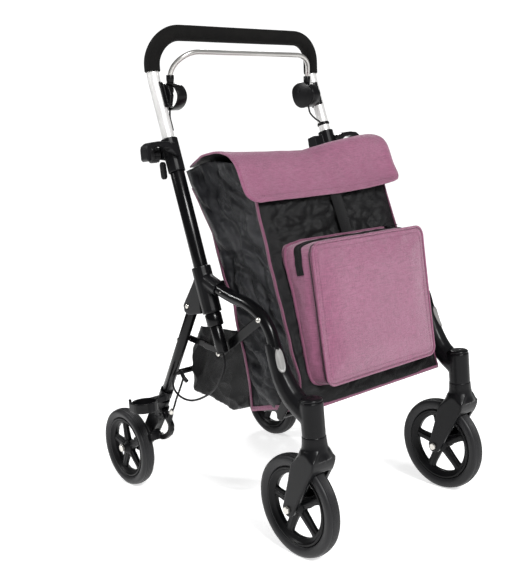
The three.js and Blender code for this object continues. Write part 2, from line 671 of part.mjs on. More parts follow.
// ---- rear legs -------------------------------------------------------------------------------
function rearLeg(name, side) {
  const { y, z } = LEG_PIVOT;
  const eye = rod(V(side * 194.6, y, z), V(side * 217.4, y, z), LEG_RADIUS + 1, 12);
  const pin = rod(V(side * 180, y, z), V(side * 230, y, z), 4.4, 8);
  const tube = rod(onLeg(side, 4), onLeg(side, 304), LEG_RADIUS, 12);
  const ears = box(side * 194.6, side * 217.4, 200, 400, 80, 500);
  const upperEnd = tube.intersect(rod(onLeg(side, -20), onLeg(side, 40), 30, 8)).intersect(ears);
  const shank = tube.intersect(rod(onLeg(side, 30), onLeg(side, 360), 30, 8));
  add(name, cut(join(eye, upperEnd, shank), pin), BLACK_METAL);
}

const REAR_AXLE = { y: WHEELBASE, z: REAR_WHEEL.radius };
const BRAKE_ARM_PIVOT = { y: 443.6, z: 181.6 };

// Foot casting: socket for the leg, plate down to the axle boss, and the brake arm's bracket.
function rearCasting(name, side) {
  const socket = rod(onLeg(side, 284), onLeg(side, 350), 13.8, 14);
  const legBore = rod(onLeg(side, 200), onLeg(side, 304 + GAP), LEG_RADIUS + GAP, 12);
  const plate = slab([
    [438, 194], [455, 170], [482, 137], [508, 107], [546, 78], [560, 73], [574, 76], [580, 88],
    [577, 100], [565, 106],
    [520, 145], [486, 188], [462, 210],
  ], side * 177, side * 199);
  const boss = rod(
    V(side * 172, REAR_AXLE.y, REAR_AXLE.z), V(side * 201, REAR_AXLE.y, REAR_AXLE.z), 13, 14,
  );
  const bracket = slab(
    [[432, 178], [440, 170], [462, 176], [466, 200], [448, 205]], side * 198, side * 202,
  );
  const axleBore = rod(
    V(side * 150, REAR_AXLE.y, REAR_AXLE.z), V(side * 260, REAR_AXLE.y, REAR_AXLE.z), 5.3, 8,
  );
  const armRoom = slab(
    [[410, 199], [450, 195], [456, 176], [462, 160], [484, 138], [500, 134], [500, 90], [410, 90]],
    side * 182.5, side * 197.5,
  );
  const pinBore = rod(
    V(side * 150, BRAKE_ARM_PIVOT.y, BRAKE_ARM_PIVOT.z),
    V(side * 260, BRAKE_ARM_PIVOT.y, BRAKE_ARM_PIVOT.z), 3.3, 8,
  );
  add(name, cut(join(socket, plate, boss, bracket), legBore, axleBore, armRoom, pinBore), BLACK);
}

function rearAxle(name, side) {
  const { y, z } = REAR_AXLE;
  const shaft = rod(V(side * 168, y, z), V(side * 239, y, z), 5, 8);
  const inner = hexHead(side * 166, side * 171.7, y, z, 8);
  const cap = rod(V(side * 235.8, y, z), V(side * 241, y, z), 8.5, 12);
  add(name, join(shaft, inner, cap), STEEL);
}

// C-shaped brake arm; its shoe sits just in front of the tyre.
function brakeArm(name, side) {
  const curve = new THREE.CatmullRomCurve3([
    V(0, 443.6, 181.6), V(0, 431, 173), V(0, 421, 159), V(0, 425, 144), V(0, 440, 132), V(0, 456, 124),
    V(0, 470, 127),
  ], false, 'centripetal');
  const outer = [];
  const inner = [];
  const steps = 9;
  const halfWidth = 5.5;
  for (let i = 0; i <= steps; i += 1) {
    const point = curve.getPointAt(i / steps);
    const along = curve.getTangentAt(i / steps);
    outer.push([point.y - along.z * halfWidth, point.z + along.y * halfWidth]);
    inner.unshift([point.y + along.z * halfWidth, point.z - along.y * halfWidth]);
  }
  const arm = slab([...outer, ...inner], side * 184.5, side * 195.5);
  const eye = rod(
    V(side * 184.5, BRAKE_ARM_PIVOT.y, BRAKE_ARM_PIVOT.z),
    V(side * 195.5, BRAKE_ARM_PIVOT.y, BRAKE_ARM_PIVOT.z), 8, 12,
  );
  const pin = rod(
    V(side * 178, BRAKE_ARM_PIVOT.y, BRAKE_ARM_PIVOT.z),
    V(side * 204, BRAKE_ARM_PIVOT.y, BRAKE_ARM_PIVOT.z), 3, 8,
  );
  const shoe = slab(
    [[464, 120], [476.5, 118], [482, 130], [474, 139], [465, 136]], side * 190, side * 216,
  );
  const barrel = rod(V(side * 190, 426, 167), V(side * 190, 416, 186), 5.5, 10);
  const cableBore = rod(V(side * 190, 423, 173), V(side * 190, 412, 194), 2.6, 6);
  add(name, cut(join(arm, eye, pin, shoe, barrel), cableBore), BLACK);
}

function crossBar() {
  const offset = onLeg(1, 204);
  const clear = sides.map(([, side]) => rod(onLeg(side, 100), onLeg(side, 300), LEG_RADIUS + GAP, 12));
  const bar = rod(V(-offset.x, offset.y, offset.z), V(offset.x, offset.y, offset.z), 6, 10);
  const beyond = sides.map(([, side]) => box(side * (offset.x - 4), side * 260, 300, 460, 200, 360));
  add('leg_cross_bar', cut(bar, ...clear, ...beyond), BLACK_METAL);
}

// Cup for the cane's tip, on an arm from a ring clamped round the right leg.
const CUP = { x: -259.5, y: 405, low: 212, high: 233, radius: 27.5, wall: 2.5 };

function caneCup() {
  const centre = V(CUP.x, CUP.y, 0);
  const upright = (x, y, low, high, radius, count) => rod(V(x, y, low), V(x, y, high), radius, count);
  const outer = upright(centre.x, centre.y, CUP.low, CUP.high, CUP.radius, 20);
  const well = upright(centre.x, centre.y, CUP.low + 3, CUP.high + 5, CUP.radius - CUP.wall, 20);
  const clampAt = 264;
  const ring = rod(onLeg(-1, clampAt - 10), onLeg(-1, clampAt + 10), LEG_RADIUS + 3.5, 12);
  const legBore = rod(onLeg(-1, clampAt - 40), onLeg(-1, clampAt + 40), LEG_RADIUS + GAP, 12);
  const arm = box(-240, -198, 413, 429, 217, 230);
  const hook = join(box(-287, -282, 408, 420, 214, 232), box(-287, -282, 418, 424, 214, 240));
  add('cane_cup', cut(join(outer, ring, arm, hook), well, legBore), BLACK);
}

// Two-part folding stay between the main tube's lower end and the rear leg, straight when open.
function stayEnds(side) {
  const low = { y: STAY.y, z: STAY.z };
  const legPoint = onLeg(side, STAY.leg);
  const high = { y: legPoint.y, z: legPoint.z };
  const middle = { y: (low.y + high.y) / 2, z: (low.z + high.z) / 2 };
  return { low, high, middle };
}

function link(from, to, x0, x1, trim) {
  const along = new THREE.Vector2(to.y - from.y, to.z - from.z);
  const length = along.length() - trim;
  along.normalize();
  const shape = new THREE.Shape();
  const angle = Math.atan2(along.y, along.x);
  const end = { y: from.y + along.x * length, z: from.z + along.y * length };
  shape.absarc(from.y, from.z, 7, angle + Math.PI / 2, angle + Math.PI * 1.5, false);
  shape.absarc(end.y, end.z, 7, angle - Math.PI / 2, angle + Math.PI / 2, false);
  return slab(shape, x0, x1, 5);
}

function stays(word, side) {
  const { low, high, middle } = stayEnds(side);
  const spacer = (point, x0, x1) => rod(
    V(side * x0, point.y, point.z), V(side * x1, point.y, point.z), 4.5, 8,
  );
  add(
    `stay_front_${word}`, join(link(low, middle, side * 184, side * 187.5, 0), spacer(low, 184, 191.8)),
    BLACK_METAL,
  );
  add(
    `stay_rear_${word}`, join(link(high, middle, side * 180, side * 183.6, 0), spacer(high, 180, 186)),
    BLACK_METAL,
  );
}

// Brake cable: out of the main tube's lower end, one loose loop to the leg's guide, down to the arm.
function brakeCable(name, side) {
  const route = [
    [212, 176.2, 354.6], [212, 173.6, 345], [212, 173.4, 334], [212, 178, 321], [211, 188, 306],
    [209, 205, 288], [206, 232, 268], [203, 265, 251],
    [200.5, 300, 238], [200, 326, 233], [200.5, 351, 235], [201, 368, 242], [201.5, 377, 253],
    [201, 378, 266],
    [199, 372, 279], [196, 362, 287], [193, 353, 288], [190, 352, 280], [190, 360, 265], [190, 374, 244],
    [190, 390, 222], [190, 403, 201], [190, 413.5, 189.5],
  ].map(([x, y, z]) => V(side * x, y, z));
  add(
    name,
    sweep(new THREE.CatmullRomCurve3(route, false, 'centripetal'), { radius: 2.2, sides: 6, steps: 34 }),
    BLACK,
  );
}

// ---- assembly --------------------------------------------------------------------------------
handle();
brakeBow();
crossMembers();
bagBody();
rearPouch();
frontPocket();
zipPull();
bagFlap();
foldLever();
crossBar();
caneCup();
for (const [word, side] of sides) {
  brakeHousing(`brake_housing_${word}`, side);
  brakeLever(`brake_lever_${word}`, side, word === 'left');
  mainTube(`main_tube_${word}`, side);
  handleCollar(`handle_collar_${word}`, side, word === 'left');
  heightKnob(`height_knob_${word}`, side);
  caneHook(`cane_hook_${word}`, side);
  sideCasting(`side_casting_${word}`, side);
  archTube(`arch_tube_${word}`, side);
  sideBrace(`side_brace_${word}`, side);
  frontCasting(`front_casting_${word}`, side);
  casterFork(`caster_fork_${word}`, side);
  frontAxle(`front_axle_${word}`, side);
  const frontCentre = V(side * FRONT_WHEEL.x, 0, FRONT_WHEEL.radius);
  tyre(`front_tyre_${word}`, FRONT_WHEEL, frontCentre);
  rim(`front_rim_${word}`, FRONT_WHEEL, frontCentre, 5.4);
  rearLeg(`rear_leg_${word}`, side);
  rearCasting(`rear_casting_${word}`, side);
  rearAxle(`rear_axle_${word}`, side);
  const rearCentre = V(side * REAR_WHEEL.x, REAR_AXLE.y, REAR_AXLE.z);
  tyre(`rear_tyre_${word}`, REAR_WHEEL, rearCentre);
  rim(`rear_rim_${word}`, REAR_WHEEL, rearCentre, 5.4);
  brakeArm(`brake_arm_${word}`, side);
  stays(word, side);
  brakeCable(`brake_cable_${word}`, side);
}

export default walker;
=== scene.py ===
"""Shopping rollator walker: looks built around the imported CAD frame. Metres, +Z up."""
import json
import math

import bmesh
import bpy
import numpy as np
from mathutils import Matrix, Vector, noise

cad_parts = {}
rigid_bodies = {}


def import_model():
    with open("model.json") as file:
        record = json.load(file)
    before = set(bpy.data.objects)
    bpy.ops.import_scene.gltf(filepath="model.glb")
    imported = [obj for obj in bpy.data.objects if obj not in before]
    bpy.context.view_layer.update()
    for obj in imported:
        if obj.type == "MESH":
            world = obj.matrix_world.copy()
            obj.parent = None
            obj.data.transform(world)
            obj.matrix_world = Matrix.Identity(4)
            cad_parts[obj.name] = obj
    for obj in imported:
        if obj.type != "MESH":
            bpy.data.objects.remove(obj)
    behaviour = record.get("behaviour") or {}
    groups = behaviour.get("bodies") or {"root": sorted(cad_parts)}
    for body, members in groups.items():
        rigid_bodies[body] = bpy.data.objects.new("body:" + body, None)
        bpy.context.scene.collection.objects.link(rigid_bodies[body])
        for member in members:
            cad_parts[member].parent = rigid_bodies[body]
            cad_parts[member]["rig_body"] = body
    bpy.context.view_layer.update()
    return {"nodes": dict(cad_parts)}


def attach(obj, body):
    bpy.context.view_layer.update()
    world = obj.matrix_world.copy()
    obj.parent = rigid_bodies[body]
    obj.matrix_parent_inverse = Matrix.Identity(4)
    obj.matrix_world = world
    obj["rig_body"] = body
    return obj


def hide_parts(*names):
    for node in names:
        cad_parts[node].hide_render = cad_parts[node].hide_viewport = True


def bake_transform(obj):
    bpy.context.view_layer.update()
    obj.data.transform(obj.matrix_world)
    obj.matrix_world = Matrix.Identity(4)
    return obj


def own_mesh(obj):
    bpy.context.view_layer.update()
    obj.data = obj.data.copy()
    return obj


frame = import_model()
NODES = frame["nodes"]
SIDES = (("right", -1), ("left", 1))

# Places and sizes that several pieces share, for the left side, in millimetres with y from the front axle.
AXLE_TO_ORIGIN = -279.5
LEAN = math.radians(15.1)
TUBE_X = 212
TUBE_LINE = (344.4, 978)
HANDLE_BEND = 104
LEG_PIVOT = (206, 264, 440)
LEG_FOOT = (188, 457, 192)
BOW_FOOT = (183.5, 304.1, 885)
BOW_LEAN = -0.13
KNOB = (233, 302, 738)
FRONT_WHEEL = (204, 0, 95)
FRONT_TYRE = 28
REAR_WHEEL = (218.5, 565, 89)
REAR_TYRE = 30
POST = (204, -54)


def P(x, y, z):
    """A point laid out in millimetres with y from the front axle, in the row frame."""
    return Vector((x, y + AXLE_TO_ORIGIN, z)) / 1000


def at(side, place):
    """A place given for the left side, on either side."""
    x, y, z = place
    return P(side * x, y, z)


def on_tube(side, s):
    """The point s mm down the line of a main tube."""
    y, z = TUBE_LINE
    return P(side * TUBE_X, y - math.sin(LEAN) * s, z - math.cos(LEAN) * s)


def on_leg(side, s):
    """The point s mm down a rear leg from its pivot."""
    top, foot = at(side, LEG_PIVOT), at(side, LEG_FOOT)
    return top + (foot - top).normalized() * (s / 1000)


def clamped(value):
    return min(1, max(0, value))


def smoothed(value, low, high):
    """A soft step from 0 to 1 between two values."""
    t = clamped((value - low) / (high - low))
    return t * t * (3 - 2 * t)


def wander(x, y, z):
    return noise.noise(Vector((x, y, z)))


def ridged(x, y, z, sharp):
    return (1 - abs(wander(x, y, z))) ** sharp


def turned_by(u, v, angle):
    """The direction at an angle from u towards v."""
    return u * math.cos(angle) + v * math.sin(angle)


def preset(node, values):
    """Sets constants on a shader node's inputs."""
    for name, value in values.items():
        node.inputs[name].default_value = value


# ---- camera and light -------------------------------------------------------------------------
LENS = 50.92
CAMERA_PLACE = (-1.11067, -1.33338, 0.68967)
CAMERA_TURN = (-38.854, 8.1325, -4.944)
SUN_WAY = (0.22, 0.9, -0.8)
SUN_POWER, SUN_ANGLE = 3.1, math.radians(16)
ROOM_LIGHT, ROOM_SEEN = 0.17, 1.1
LAMPS = (
    ("front", (-0.9, -2.5, 1.5), 0.7, 13),
    ("rim", (1.4, 1.6, 1.9), 0.5, 16),
    ("near", (-1.5, 1.3, 1.9), 0.2, 20),
)


def make_camera():
    data = bpy.data.cameras.new("camera")
    data.lens, data.sensor_width, data.clip_start, data.clip_end = LENS, 36, 0.05, 60
    camera = bpy.data.objects.new("camera", data)
    yaw, pitch, roll = map(math.radians, CAMERA_TURN)
    ahead = Vector((-math.sin(yaw) * math.cos(pitch), math.cos(yaw) * math.cos(pitch), -math.sin(pitch)))
    right = Vector((math.cos(yaw), math.sin(yaw), 0))
    up = right.cross(ahead)
    turned = Matrix((turned_by(right, up, roll), turned_by(up, -right, roll), -ahead)).transposed().to_4x4()
    turned.translation = CAMERA_PLACE
    camera.matrix_world = turned
    bpy.context.scene.collection.objects.link(camera)
    bpy.context.scene.camera = camera


def add_light(name, kind, way, power):
    """A light that shines along a direction."""
    data = bpy.data.lights.new(name, kind)
    data.energy = power
    light = bpy.data.objects.new(name, data)
    light.rotation_euler = Vector(way).to_track_quat("-Z", "Y").to_euler()
    bpy.context.scene.collection.objects.link(light)
    return light


def make_studio():
    """White surroundings, dimmer as a light than as a backdrop, with one broad soft sun and three lamps."""
    bpy.context.scene.view_settings.view_transform = "Standard"
    world = bpy.data.worlds.new("studio")
    world.use_nodes = True
    tree = world.node_tree
    mix = tree.nodes.new("ShaderNodeMixShader")
    tree.links.new(tree.nodes.new("ShaderNodeLightPath").outputs["Is Camera Ray"], mix.inputs["Fac"])
    backdrop = tree.nodes.new("ShaderNodeBackground")
    for number, shader, strength in ((1, tree.nodes["Background"], ROOM_LIGHT), (2, backdrop, ROOM_SEEN)):
        preset(shader, {"Color": (1, 1, 1, 1), "Strength": strength})
        tree.links.new(shader.outputs["Background"], mix.inputs[number])
    tree.links.new(mix.outputs["Shader"], tree.nodes["World Output"].inputs["Surface"])
    bpy.context.scene.world = world
    add_light("sun", "SUN", SUN_WAY, SUN_POWER).data.angle = SUN_ANGLE
    middle = Vector((0, 0, 0.45))
    for name, place, size, power in LAMPS:
        lamp = add_light(name, "AREA", middle - Vector(place), power)
        lamp.location = place
        lamp.data.shape, lamp.data.size = "DISK", size


# ---- mesh helpers -----------------------------------------------------------------------------
def from_data(name, verts, faces, materials, body=None, slot=None):
    """A smooth piece, riding with a body if one is given; the slot argument is not used."""
    mesh = bpy.data.meshes.new(name)
    mesh.from_pydata([tuple(v) for v in verts], [], faces)
    mesh.validate()
    made = bpy.data.objects.new(name, mesh)
    bpy.context.scene.collection.objects.link(made)
    for material in materials if isinstance(materials, list) else [materials]:
        mesh.materials.append(material)
    for face in mesh.polygons:
        face.use_smooth = True
    if body:
        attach(made, body)
    return made


def curve_points(points, per=8):
    """Centripetal Catmull-Rom points through the given ones."""
    p = [np.array(q, float) for q in points]
    p = [2 * p[0] - p[1], *p, 2 * p[-1] - p[-2]]
    out = []
    for i in range(1, len(p) - 2):
        p0, p1, p2, p3 = p[i - 1:i + 3]
        d0, d1, d2 = (max(np.linalg.norm(b - a) ** 0.5, 1e-5) for a, b in ((p0, p1), (p1, p2), (p2, p3)))
        t1 = ((p1 - p0) / d0 - (p2 - p0) / (d0 + d1) + (p2 - p1) / d1) * d1
        t2 = ((p2 - p1) / d1 - (p3 - p1) / (d1 + d2) + (p3 - p2) / d2) * d1
        c2, c3 = -3 * p1 + 3 * p2 - 2 * t1 - t2, 2 * p1 - 2 * p2 + t1 + t2
        for k in range(per):
            t = k / per
            out.append(p1 + t1 * t + c2 * t * t + c3 * t ** 3)
    out.append(p[-2])
    return out


def ring_faces(rings, n, closed=False):
    """The quads between rings of n points each, and from the last ring to the first one if closed."""
    faces = []
    for i in range(rings if closed else rings - 1):
        a, b = i * n, (i + 1) % rings * n
        faces += [(a + k, a + (k + 1) % n, b + (k + 1) % n, b + k) for k in range(n)]
    return faces


def lofted(rings, closed=False):
    """Vertices and faces of a skin over rings of points, with an end face on each end unless closed."""
    n, count = len(rings[0]), len(rings)
    faces = ring_faces(count, n, closed)
    if not closed:
        faces += [tuple(reversed(range(n))), tuple(range((count - 1) * n, count * n))]
    return [q for ring in rings for q in ring], faces


def mirrored(profile):
    """A profile followed by its own mirror image, back to the start."""
    return profile + [(r, -h) for r, h in reversed(profile)]


def tube_mesh(path, radius, sides=28, cap=0.15):
    """Vertices and faces of a round bar along a path, with slightly rounded ends."""
    pts = [Vector(q) for q in path]
    radii = list(radius) if hasattr(radius, "__len__") else [radius] * len(pts)
    start, end = (pts[1] - pts[0]).normalized(), (pts[-1] - pts[-2]).normalized()
    inset = cap * radii[0]
    if cap:
        pts = [pts[0], pts[0] + start * inset, *pts[1:-1], pts[-1] - end * inset, pts[-1]]
        radii = [radii[0] * (1 - cap), radii[0], *radii[1:-1], radii[-1], radii[-1] * (1 - cap)]
    normal, before, rings = start.orthogonal().normalized(), start, []
    for i, (q, r) in enumerate(zip(pts, radii)):
        ahead = (pts[min(len(pts) - 1, i + 1)] - pts[max(0, i - 1)]).normalized()
        normal = before.rotation_difference(ahead) @ normal
        before = ahead
        across = ahead.cross(normal)
        rings.append([q + turned_by(normal, across, 2 * math.pi * k / sides) * r for k in range(sides)])
    return lofted(rings)


def tube(name, path, radius, material, body, sides=28, cap=0.15):
    return from_data(name, *tube_mesh(path, radius, sides, cap), material, body)


def lathe_mesh(profile, centre, axis, segments):
    """A closed profile of (radius, offset) pairs turned about an axis through the centre."""
    axis = Vector(axis).normalized()
    u = axis.orthogonal().normalized()
    v = axis.cross(u)
    rings = []
    for k in range(segments):
        out = turned_by(u, v, 2 * math.pi * k / segments)
        rings.append([Vector(centre) + out * r + axis * h for r, h in profile])
    return lofted(rings, closed=True)


def merge(parts):
    verts, faces = [], []
    for v, f in parts:
        base = len(verts)
        verts += v
        faces += [tuple(i + base for i in face) for face in f]
    return verts, faces


def recalc(obj, weld=True):
    """Turns the faces outwards, after joining equal points if asked."""
    bm = bmesh.new()
    bm.from_mesh(obj.data)
    if weld:
        bmesh.ops.remove_doubles(bm, verts=bm.verts, dist=1e-7)
    bmesh.ops.recalc_face_normals(bm, faces=bm.faces)
    bm.to_mesh(obj.data)
    bm.free()
    return obj


def trim(name, mesh, material, body, slot=None):
    """A small closed piece that rides with a body."""
    return recalc(from_data(name, *mesh, material, body, slot))


def applied(obj):
    """The object's mesh with its modifiers applied and the modifiers removed."""
    dg = bpy.context.evaluated_depsgraph_get()
    mesh = bpy.data.meshes.new_from_object(obj.evaluated_get(dg), depsgraph=dg)
    obj.modifiers.clear()
    obj.data = mesh
    for face in mesh.polygons:
        face.use_smooth = True
    return obj


def stand_in(obj, node):
    """Makes a piece ride with the body of the CAD node that it stands for, and hides that node."""
    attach(obj, NODES[node]["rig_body"])
    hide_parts(node)


def softened(name, node, material, voxel, rounds, more=None):
    """A copy of a CAD node with rounded edges, blended with one more closed form if given; voxel in mm."""
    data = NODES[node].data
    mesh = [([v.co for v in data.vertices], [tuple(face.vertices) for face in data.polygons])]
    if more:
        mesh.append(more)
    made = from_data(name, *merge(mesh), material)
    remesh = made.modifiers.new("remesh", "REMESH")
    remesh.mode, remesh.voxel_size = "VOXEL", voxel / 1000
    smooth = made.modifiers.new("smooth", "SMOOTH")
    smooth.factor, smooth.iterations = 0.5, rounds
    return applied(made)


def moulded(node, material, voxel, rounds, more=None):
    """A smooth moulded copy that stands for a CAD node."""
    stand_in(softened(node + "_moulded", node, material, voxel, rounds, more), node)


# ---- materials --------------------------------------------------------------------------------
def nodes_of(name):
    material = bpy.data.materials.new(name)
    material.use_nodes = True
    tree = material.node_tree
    shader = tree.nodes["Principled BSDF"]
    where = tree.nodes.new("ShaderNodeTexCoord").outputs["Object"]
    return material, tree, shader, where


def stretched(tree, where, scale, turn=(0, 0, 0)):
    mapping = tree.nodes.new("ShaderNodeMapping")
    preset(mapping, {"Scale": scale, "Rotation": turn})
    tree.links.new(where, mapping.inputs["Vector"])
    return mapping.outputs["Vector"]


def noise_node(tree, vector, scale, detail=3.0, roughness=0.5):
    made = tree.nodes.new("ShaderNodeTexNoise")
    preset(made, {"Scale": scale, "Detail": detail, "Roughness": roughness})
    tree.links.new(vector, made.inputs["Vector"])
    return made.outputs["Fac"]


def added(tree, a, b, share):
    made = tree.nodes.new("ShaderNodeMath")
    made.operation = "MULTIPLY_ADD"
    made.inputs[1].default_value = share
    tree.links.new(b, made.inputs[0])
    tree.links.new(a, made.inputs[2])
    return made.outputs["Value"]


def bumped(tree, shader, height, strength, distance):
    made = tree.nodes.new("ShaderNodeBump")
    preset(made, {"Strength": strength, "Distance": distance})
    tree.links.new(height, made.inputs["Height"])
    tree.links.new(made.outputs["Normal"], shader.inputs["Normal"])
    return made


def shade(colour, share):
    return tuple(min(1.0, c * share) for c in colour)


def painted(tree, shader, value, low, high):
    """Base colour that wanders between two colours with a value."""
    ramp = tree.nodes.new("ShaderNodeValToRGB")
    for end, place, colour in zip(ramp.color_ramp.elements, (0.35, 0.65), (low, high)):
        end.position, end.color = place, (*colour, 1)
    tree.links.new(value, ramp.inputs["Fac"])
    tree.links.new(ramp.outputs["Color"], shader.inputs["Base Color"])


def roughened(tree, shader, value, low, high):
    spread = tree.nodes.new("ShaderNodeMapRange")
    preset(spread, {"From Min": 0.3, "From Max": 0.7, "To Min": low, "To Max": high})
    tree.links.new(value, spread.inputs["Value"])
    tree.links.new(spread.outputs["Result"], shader.inputs["Roughness"])


def moulded_plastic(name, colour, rough, grain=900, bump=0.25, specular=0.14):
    material, tree, shader, where = nodes_of(name)
    cloud = noise_node(tree, where, 14, 4)
    fine = noise_node(tree, where, grain, 2)
    painted(tree, shader, cloud, shade(colour, 0.82), shade(colour, 1.25))
    roughened(tree, shader, added(tree, cloud, fine, 0.15), rough - 0.05, rough + 0.07)
    shader.inputs["Specular IOR Level"].default_value = specular
    bumped(tree, shader, fine, bump, 0.00015)
    return material


def bare_metal(name, colour, rough, lines, metallic=1.0):
    material, tree, shader, where = nodes_of(name)
    brushed = noise_node(tree, stretched(tree, where, lines), 1.0, 3)
    cloud = noise_node(tree, where, 22, 3)
    painted(tree, shader, cloud, shade(colour, 0.93), shade(colour, 1.04))
    roughened(tree, shader, brushed, rough - 0.02, rough + 0.03)
    shader.inputs["Metallic"].default_value = metallic
    bumped(tree, shader, brushed, 0.04, 0.00005)
    return material


def woven(name, light, dark, rough, threads, streak, bump, sheen=0.3, crease=0.0, specular=0.3):
    """Woven cloth: streaky melange colour, a fine over-and-under weave, and soft creases."""
    material, tree, shader, where = nodes_of(name)
    across = noise_node(tree, stretched(tree, where, (streak, streak, streak * 7)), 1.0, 3, 0.6)
    along = noise_node(tree, stretched(tree, where, (streak * 6, streak * 6, streak)), 1.0, 3, 0.6)
    cloud = noise_node(tree, where, 9, 3)
    melange = added(tree, added(tree, across, along, 0.7), cloud, 0.35)
    scaled = tree.nodes.new("ShaderNodeMath")
    scaled.operation = "MULTIPLY"
    scaled.inputs[1].default_value = 1 / 2.05
    tree.links.new(melange, scaled.inputs[0])
    painted(tree, shader, scaled.outputs["Value"], dark, light)
    weave = None
    for turn in ((0, 0, 0), (0, math.pi / 2, 0), (0, 0, math.pi / 2)):
        wave = tree.nodes.new("ShaderNodeTexWave")
        preset(wave, {"Scale": threads, "Distortion": 1.2})
        tree.links.new(stretched(tree, where, (1, 1, 1), turn), wave.inputs["Vector"])
        weave = wave.outputs["Fac"] if weave is None else added(tree, weave, wave.outputs["Fac"], 0.8)
    height = added(tree, weave, across, 0.6)
    roughened(tree, shader, cloud, rough - 0.06, rough + 0.06)
    preset(shader, {"Sheen Weight": sheen, "Sheen Roughness": 0.5, "Specular IOR Level": specular})
    fine = bumped(tree, shader, height, bump, 0.0006)
    if crease:
        folds = tree.nodes.new("ShaderNodeTexNoise")
        folds.noise_type = "RIDGED_MULTIFRACTAL"
        preset(folds, {"Scale": 1.0, "Detail": 4.0})
        tree.links.new(stretched(tree, where, (8, 13, 5), (0.75, 0, 0)), folds.inputs["Vector"])
        wide = tree.nodes.new("ShaderNodeBump")
        preset(wide, {"Strength": 0.9, "Distance": crease / 1000})
        tree.links.new(folds.outputs["Fac"], wide.inputs["Height"])
        tree.links.new(wide.outputs["Normal"], fine.inputs["Normal"])
    return material


def foam_material():
    material, tree, shader, where = nodes_of("foam_skin")
    cells = tree.nodes.new("ShaderNodeTexVoronoi")
    cells.inputs["Scale"].default_value = 900
    tree.links.new(where, cells.inputs["Vector"])
    cloud = noise_node(tree, where, 60, 4)
    painted(tree, shader, cloud, (0.003, 0.0028, 0.0027), (0.0058, 0.0055, 0.0052))
    roughened(tree, shader, cloud, 0.82, 0.95)
    shader.inputs["Specular IOR Level"].default_value = 0.15
    bumped(tree, shader, added(tree, cells.outputs["Distance"], cloud, 0.6), 0.5, 0.0004)
    return material


BLACK_PLASTIC = moulded_plastic("black_plastic_grain", (0.0044, 0.0044, 0.005), 0.28, specular=0.17)
RIM_PLASTIC = moulded_plastic("rim_plastic_grain", (0.004, 0.004, 0.0045), 0.32)
BLACK_PAINT = moulded_plastic("black_powder_coat", (0.0022, 0.0022, 0.0026), 0.2, 1600, 0.1, 0.2)
CABLE = moulded_plastic("cable_sheath", (0.005, 0.005, 0.0056), 0.33, 600, 0.1)
TYRE = moulded_plastic("tyre_rubber", (0.0105, 0.0105, 0.0115), 0.42, 700, 0.4, 0.26)
REFLECTOR = moulded_plastic("reflector_grey", (0.2, 0.197, 0.192), 0.3, 420, 0.6, 0.4)
FOAM = foam_material()
SILVER = bare_metal("anodised_tube", (0.95, 0.945, 0.93), 0.3, (300, 40, 40), 0.5)
BOW_METAL = bare_metal("bow_alloy", (0.5, 0.49, 0.47), 0.3, (300, 60, 60), 0.8)
STEEL = bare_metal("plated_steel", (0.62, 0.6, 0.56), 0.26, (900, 200, 200), 0.85)
MAUVE = woven("mauve_weave", (0.335, 0.108, 0.2), (0.18, 0.053, 0.107), 0.8, 420, 75, 0.6)
# The binding is the mauve cloth darkened, as painted shade.
BINDING_PAINTED_SHADE = woven("mauve_binding_painted_shade", (0.2, 0.055, 0.115), (0.12, 0.032, 0.068), 0.62, 500, 120, 0.4)
STITCH = woven("dark_thread", (0.05, 0.015, 0.03), (0.03, 0.01, 0.018), 0.6, 900, 200, 0.4)
NYLON = woven("creased_nylon", (0.012, 0.0125, 0.0155), (0.0062, 0.0065, 0.008), 0.33, 700, 30, 0.35,
              0.03, 7.0, 0.3)
BLACK_CLOTH = woven("black_front_cloth", (0.0058, 0.0058, 0.0062), (0.0028, 0.0028, 0.0032), 0.36, 600, 40,
                    0.35, 0.02, 4.0, 0.18)
WEBBING = woven("black_webbing", (0.007, 0.007, 0.0075), (0.004, 0.004, 0.0045), 0.7, 260, 90,
                0.8, 0.05, 0.0, 0.15)


# ---- handle -----------------------------------------------------------------------------------
def bow(half_width, bend, rise, base, lean0, lean1, bend_from, bend_to, legs, arc=14):
    """Same bow as the CAD: a flat bow in a sheet whose lean changes over a short height."""
    def place(x, height):
        steps = 24
        y, z = base
        for i in range(steps):
            middle = (i + 0.5) / steps * height
            turn = clamped((middle - bend_from) / (bend_to - bend_from))
            lean = lean0 + (lean1 - lean0) * turn
            y += math.sin(lean) * height / steps
            z += math.cos(lean) * height / steps
        return P(x, y, z)

    right = [(-half_width, h) for h in legs]
    for i in range(arc + 1):
        angle = i / arc * math.pi / 2
        right.append((-half_width + bend * (1 - math.cos(angle)), rise - bend * (1 - math.sin(angle))))
    left = [(-x, h) for x, h in reversed(right)]
    return [place(x, h) for x, h in right + [(-60, rise), (0, rise), (60, rise)] + left]


def make_handle():
    start = 1000 * on_tube(1, HANDLE_BEND)
    shape = dict(half_width=TUBE_X, bend=60.4, rise=95.5, base=(start.y - AXLE_TO_ORIGIN, start.z),
                 lean0=LEAN, lean1=-0.267, bend_from=0, bend_to=50)
    metal = bow(**shape, legs=[-296, -150, -20, 0, 15, 28])
    metal = tube("handle_tube_smooth", metal, 0.012, SILVER, "handle", 40)
    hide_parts("handle_tube")
    path = curve_points(bow(**shape, legs=[20, 28]), 3)
    radii = [0.015] + [0.0155] * (len(path) - 2) + [0.015]
    grip = tube("foam_grip_smooth", path, radii, FOAM, "handle", 48, 0.08)
    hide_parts("foam_grip")
    path = bow(half_width=BOW_FOOT[0], bend=53, rise=53.7, base=BOW_FOOT[1:],
               lean0=BOW_LEAN, lean1=-0.693, bend_from=-10, bend_to=30, legs=[-12, -4])
    rod = tube("brake_bow_smooth", curve_points(path, 3), 0.005, BOW_METAL, "brake_bar", 24)
    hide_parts("brake_bow")


ARCH = [(190, 487), (166, 477), (129, 465), (85, 454), (51, 436), (30, 411), (20, 378)]


